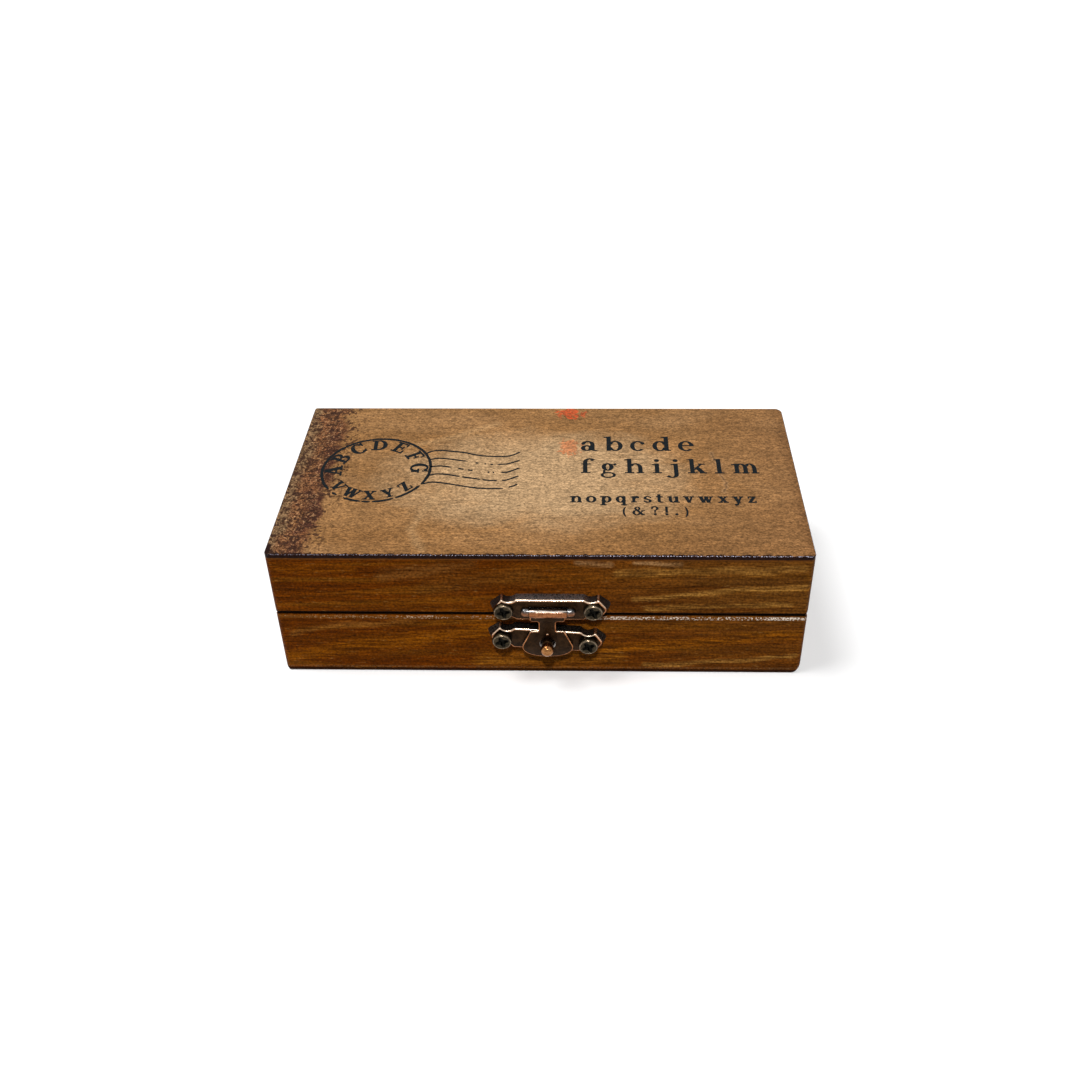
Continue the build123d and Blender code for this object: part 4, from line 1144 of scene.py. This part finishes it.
def stroke(points, width, rough):
    """An outline round a line through points, with narrow ends. rough shakes its two sides."""
    left, right = [], []
    last = len(points) - 1
    for number, point in enumerate(points):
        before = points[max(0, number - 1)]
        after = points[min(last, number + 1)]
        side = (after - before).normalized().orthogonal() * width / 2
        if number in (0, last):
            side *= NARROW_END
        left.append(point + side * (1 + DICE.uniform(-rough, rough)))
        right.append(point - side * (1 + DICE.uniform(-rough, rough)))
    return right + left[::-1]


def smooth(points, steps=6):
    """Points along a smooth line through the given ones."""
    ends = [points[0] * 2 - points[1], *points, points[-1] * 2 - points[-2]]
    line = []
    for a, b, c, d in zip(ends, ends[1:], ends[2:], ends[3:]):
        for step in range(steps):
            t = step / steps
            square, cube = (a * 2 - b * 5 + c * 4 - d) * t ** 2, (b * 3 - a - c * 3 + d) * t ** 3
            line.append((b * 2 + (c - a) * t + square + cube) / 2)
    return [*line, points[-1]]


def letter(symbol, x, y, size, turn=0.0, centred=False, bold=0.02):
    """A glyph's outlines at a place, with its x-height in millimetres. bold widens its strokes."""
    shift = -GLYPHS[symbol][0] / 2 if centred else 0.0
    cos, sin = math.cos(turn) * size, math.sin(turn) * size
    placed = []
    for outline in glyph_outlines(symbol):
        outline = [(a + shift, b) for a, b in outline]
        points = [Vector((x + a * cos - b * sin, y + a * sin + b * cos)) for a, b in outline]
        area = sum(a.x * b.y - b.x * a.y for a, b in zip(points, points[1:] + points[:1]))
        placed.append(inset(points, -bold * size if area > 0 else bold * size))
    return placed


def ink_material(name, ink, wood, worn):
    """Dry dark ink through which a little wood shows."""
    material, tree, shader = new_material(name)
    flecks = noise(tree, (0.9, 3.0, 3.0), 3, 0.65)
    fine = noise(tree, (3, 3, 3), 2, 0.6, 0.0, (3, 5, 2))
    colour = shade(mix(spread(flecks, 0.6, 0.8, 0, worn), ink, wood), fine, 0.7, 1.5)
    return finish(material, shader, colour, 0.55, bump(flecks, 0.04, 0.6), 0.03)


DICE = random.Random(30)
INK = ink_material("ink", (0.0065, 0.0088, 0.0105), (0.12, 0.065, 0.03), 0.5)
LID_TOP = box_mm("lid_top_panel")[1].z
INK_SUNK, INK_PROUD = -0.03, 0.03


def add_print(name, body, height, marks):
    """One piece of ink from a list of marks, each a list of outlines."""
    shape = Shape(lambda u, v, w: (u, v, height + w))
    for outlines in marks:
        shape.slab(outlines, INK_SUNK, INK_PROUD)
    shape.piece(name, body, [INK])


# A postmark of plain letters, with a broken ring
RING_CENTRE = Vector((-41.7, 2.4))
RING_RADIUS = 13.45
RING_WIDTH, WAVE_WIDTH = 0.74, 0.54
RING_ARCS = [(-28, 219), (226, 233), (242, 262), (263, 272), (274, 296), (298, 330)]
ring_marks = []
for first, last in RING_ARCS:
    steps = max(3, (last - first) // 3)
    turns = [math.radians(first + (last - first) * step / steps) for step in range(steps + 1)]
    arc = [RING_CENTRE + RING_RADIUS * Vector((math.cos(turn), math.sin(turn))) for turn in turns]
    ring_marks.append([stroke(arc, RING_WIDTH, 0.16)])
for symbols, first, last, radius, size, facing in (
    ("ABCDEFG", 184, 3, 8.6, 2.88, -90),
    ("VWXYZ", 221, 318, 12.5, 2.3, 90),
):
    for number, symbol in enumerate(symbols):
        turn = first + (last - first) * number / (len(symbols) - 1)
        place = RING_CENTRE + radius * Vector((math.cos(math.radians(turn)), math.sin(math.radians(turn))))
        ring_marks.append(letter(symbol, place.x, place.y, size, math.radians(turn + facing), True, 0.045))
add_print("postmark_ring", "lid", LID_TOP, ring_marks)

# Its five wavy lines, some of them broken
WAVES = [
    [(-30.0, 9.4), (-28.4, 10.45), (-26.2, 10.7), (-20.8, 9.9), (-16.3, 8.5), (-11.4, 8.1), (-8.5, 8.5),
     (-6.1, 10.2)],
    [(-28.7, 6.7), (-26.9, 7.2), (-24.4, 7.0), (-19.2, 5.9)],
    [(-17.2, 5.3), (-16.4, 5.15)],
    [(-14.9, 4.85), (-14.4, 4.8)],
    [(-13.4, 4.65), (-12.7, 4.6)],
    [(-11.6, 4.6), (-8.8, 5.0), (-6.1, 6.5)],
    [(-28.4, 3.5), (-26.0, 3.9), (-23.1, 3.4)],
    [(-21.4, 2.9), (-19.9, 2.45)],
    [(-18.9, 2.2), (-17.6, 1.95)],
    [(-13.9, 1.3), (-13.4, 1.25)],
    [(-12.6, 1.2), (-12.2, 1.2)],
    [(-10.5, 1.2), (-9.0, 1.3), (-7.6, 2.1), (-6.0, 3.2)],
    [(-28.4, -0.2), (-26.1, 0.5), (-22.8, 0.0), (-20.6, -0.6)],
    [(-20.1, -0.7), (-17.9, -1.2), (-15.4, -1.8)],
    [(-14.9, -1.9), (-13.1, -2.2), (-11.3, -2.2)],
    [(-10.1, -2.1), (-8.9, -2.0), (-6.1, -0.3)],
    [(-29.4, -3.8), (-27.2, -3.0), (-23.8, -3.5), (-19.0, -4.75), (-14.3, -5.6), (-9.6, -5.5)],
    [(-8.3, -5.0), (-7.2, -4.5), (-6.2, -3.75)],
]
waves = [[stroke(smooth([Vector(point) for point in line]), WAVE_WIDTH, 0.14)] for line in WAVES]
add_print("postmark_waves", "lid", LID_TOP, waves)

# Four rows of the alphabet: symbols, left end, right end, baseline, x-height and bolder strokes
ROWS = [
    ("abcde", 9.2, 38.0, 10.8, 4.3, 0.006),
    ("fghijklm", 9.1, 53.5, 1.05, 4.1, 0.008),
    ("nopqrstuvwxyz", 6.9, 51.3, -10.95, 2.35, 0.04),
    ("(&?!.)", 19.1, 35.0, -15.9, 2.3, 0.02),
]
rows = []
for symbols, left, right, baseline, size, bold in ROWS:
    widths = [GLYPHS[symbol][0] * size for symbol in symbols]
    gap = (right - left - sum(widths)) / (len(symbols) - 1)
    for symbol, width in zip(symbols, widths):
        rows.append(letter(symbol, left, baseline, size, bold=bold))
        left += width + gap
add_print("alphabet_rows", "lid", LID_TOP, rows)

# A letter on top of each stamp
SYMBOLS = {"ampersand": "&", "question_mark": "?", "exclamation_mark": "!", "full_stop": "."}
STAMP_LETTER = 3.6
marks = []
for name in STAMPS:
    low, high = box_mm(name)
    key = name.removeprefix("stamp_")
    baseline = (low.y + high.y) / 2 - STAMP_LETTER / 2
    marks.append(letter(SYMBOLS.get(key, key), (low.x + high.x) / 2, baseline, STAMP_LETTER, centred=True))
add_print("stamp_letters", "base", high.z, marks)


# Floor and light

FLOOR_REACH = 3.0
FLOOR_GLOW = 0.05
FLOOR_SEEN = 0.97
FLOOR_BOUNCE = 0.25
WORLD_LIGHT = 0.11
BOX_MIDDLE = Vector((0, 0, 0.018))


def background_rays(tree):
    """A mask of the rays that see the background directly, in gloss or through glass."""
    path = tree.nodes.new("ShaderNodeLightPath").outputs
    kinds = "Camera", "Glossy", "Transmission"
    direct, glossy, passing = (Value(path[f"Is {kind} Ray"]) for kind in kinds)
    return calc("MAXIMUM", calc("MAXIMUM", direct, glossy), passing)


def add_floor():
    """A white floor that keeps the object's shadow. What it throws back onto the object stays low."""
    corners = [(x * FLOOR_REACH, y * FLOOR_REACH, 0) for x, y in ((-1, -1), (1, -1), (1, 1), (-1, 1))]
    mesh = bpy.data.meshes.new("floor")
    mesh.from_pydata(corners, [], [(0, 1, 2, 3)])
    floor = add_object("floor", mesh)
    material, tree, shader = new_material("floor")
    seen = background_rays(tree)
    feed(shader, {"Emission Color": (1, 1, 1), "Emission Strength": spread(seen, 0, 1, 0, FLOOR_GLOW)})
    grey = spread(seen, 0, 1, FLOOR_BOUNCE, FLOOR_SEEN)
    mesh.materials.append(finish(material, shader, grey, 0.9, specular=0.0))


def add_sun(name, place, energy, angle):
    """A sun that looks from a place at the box."""
    sun = bpy.data.lights.new(name, "SUN")
    sun.energy = energy
    sun.angle = math.radians(angle)
    light = add_object(name, sun)
    light.location = place
    light.rotation_euler = (BOX_MIDDLE - Vector(place)).to_track_quat("-Z", "Y").to_euler()


add_floor()
# The key comes from in front and above, and draws the latch's shadows on the wood
add_sun("key", (0.0, -0.64, 1.0), 2.3, 3.5)
# A soft light from the left throws the box's shadow to the right
add_sun("soft light", (-0.38, 0.02, 0.9), 1.7, 26)

world = bpy.data.worlds.new("world")
bpy.context.scene.world = world
world.use_nodes = True
world.node_tree.nodes.clear()
strength = spread(background_rays(world.node_tree), 0, 1, WORLD_LIGHT, 1.0)
background = add_node("Background", {"Color": (1, 1, 1), "Strength": strength})
feed(world.node_tree.nodes.new("ShaderNodeOutputWorld"), {0: background})


# Camera, fitted to the photograph

CAMERA_PLACE = Vector((11.6, -234.1, 204.5)) * MM
CAMERA_YAW = math.radians(1.56)
CAMERA_DOWN = math.radians(35.81)
CAMERA_ROLL = math.radians(0.75)
FOCAL_PX = 1168.0
CENTRE_PX = (564.45, 478.9)

lens = bpy.data.cameras.new("camera")
lens.sensor_width = SENSOR_MM
lens.lens = FOCAL_PX / FRAME_PX * SENSOR_MM
lens.shift_x = (FRAME_PX / 2 - CENTRE_PX[0]) / FRAME_PX
lens.shift_y = (CENTRE_PX[1] - FRAME_PX / 2) / FRAME_PX
lens.clip_start = 0.01
camera = add_object("camera", lens)
turn = Matrix.Rotation(CAMERA_YAW, 4, "Z") @ Matrix.Rotation(math.pi / 2 - CAMERA_DOWN, 4, "X")
camera.matrix_world = Matrix.Translation(CAMERA_PLACE) @ turn @ Matrix.Rotation(-CAMERA_ROLL, 4, "Z")
bpy.context.scene.camera = camera
bpy.context.scene.view_settings.view_transform = "Standard"

bpy.context.view_layer.update()
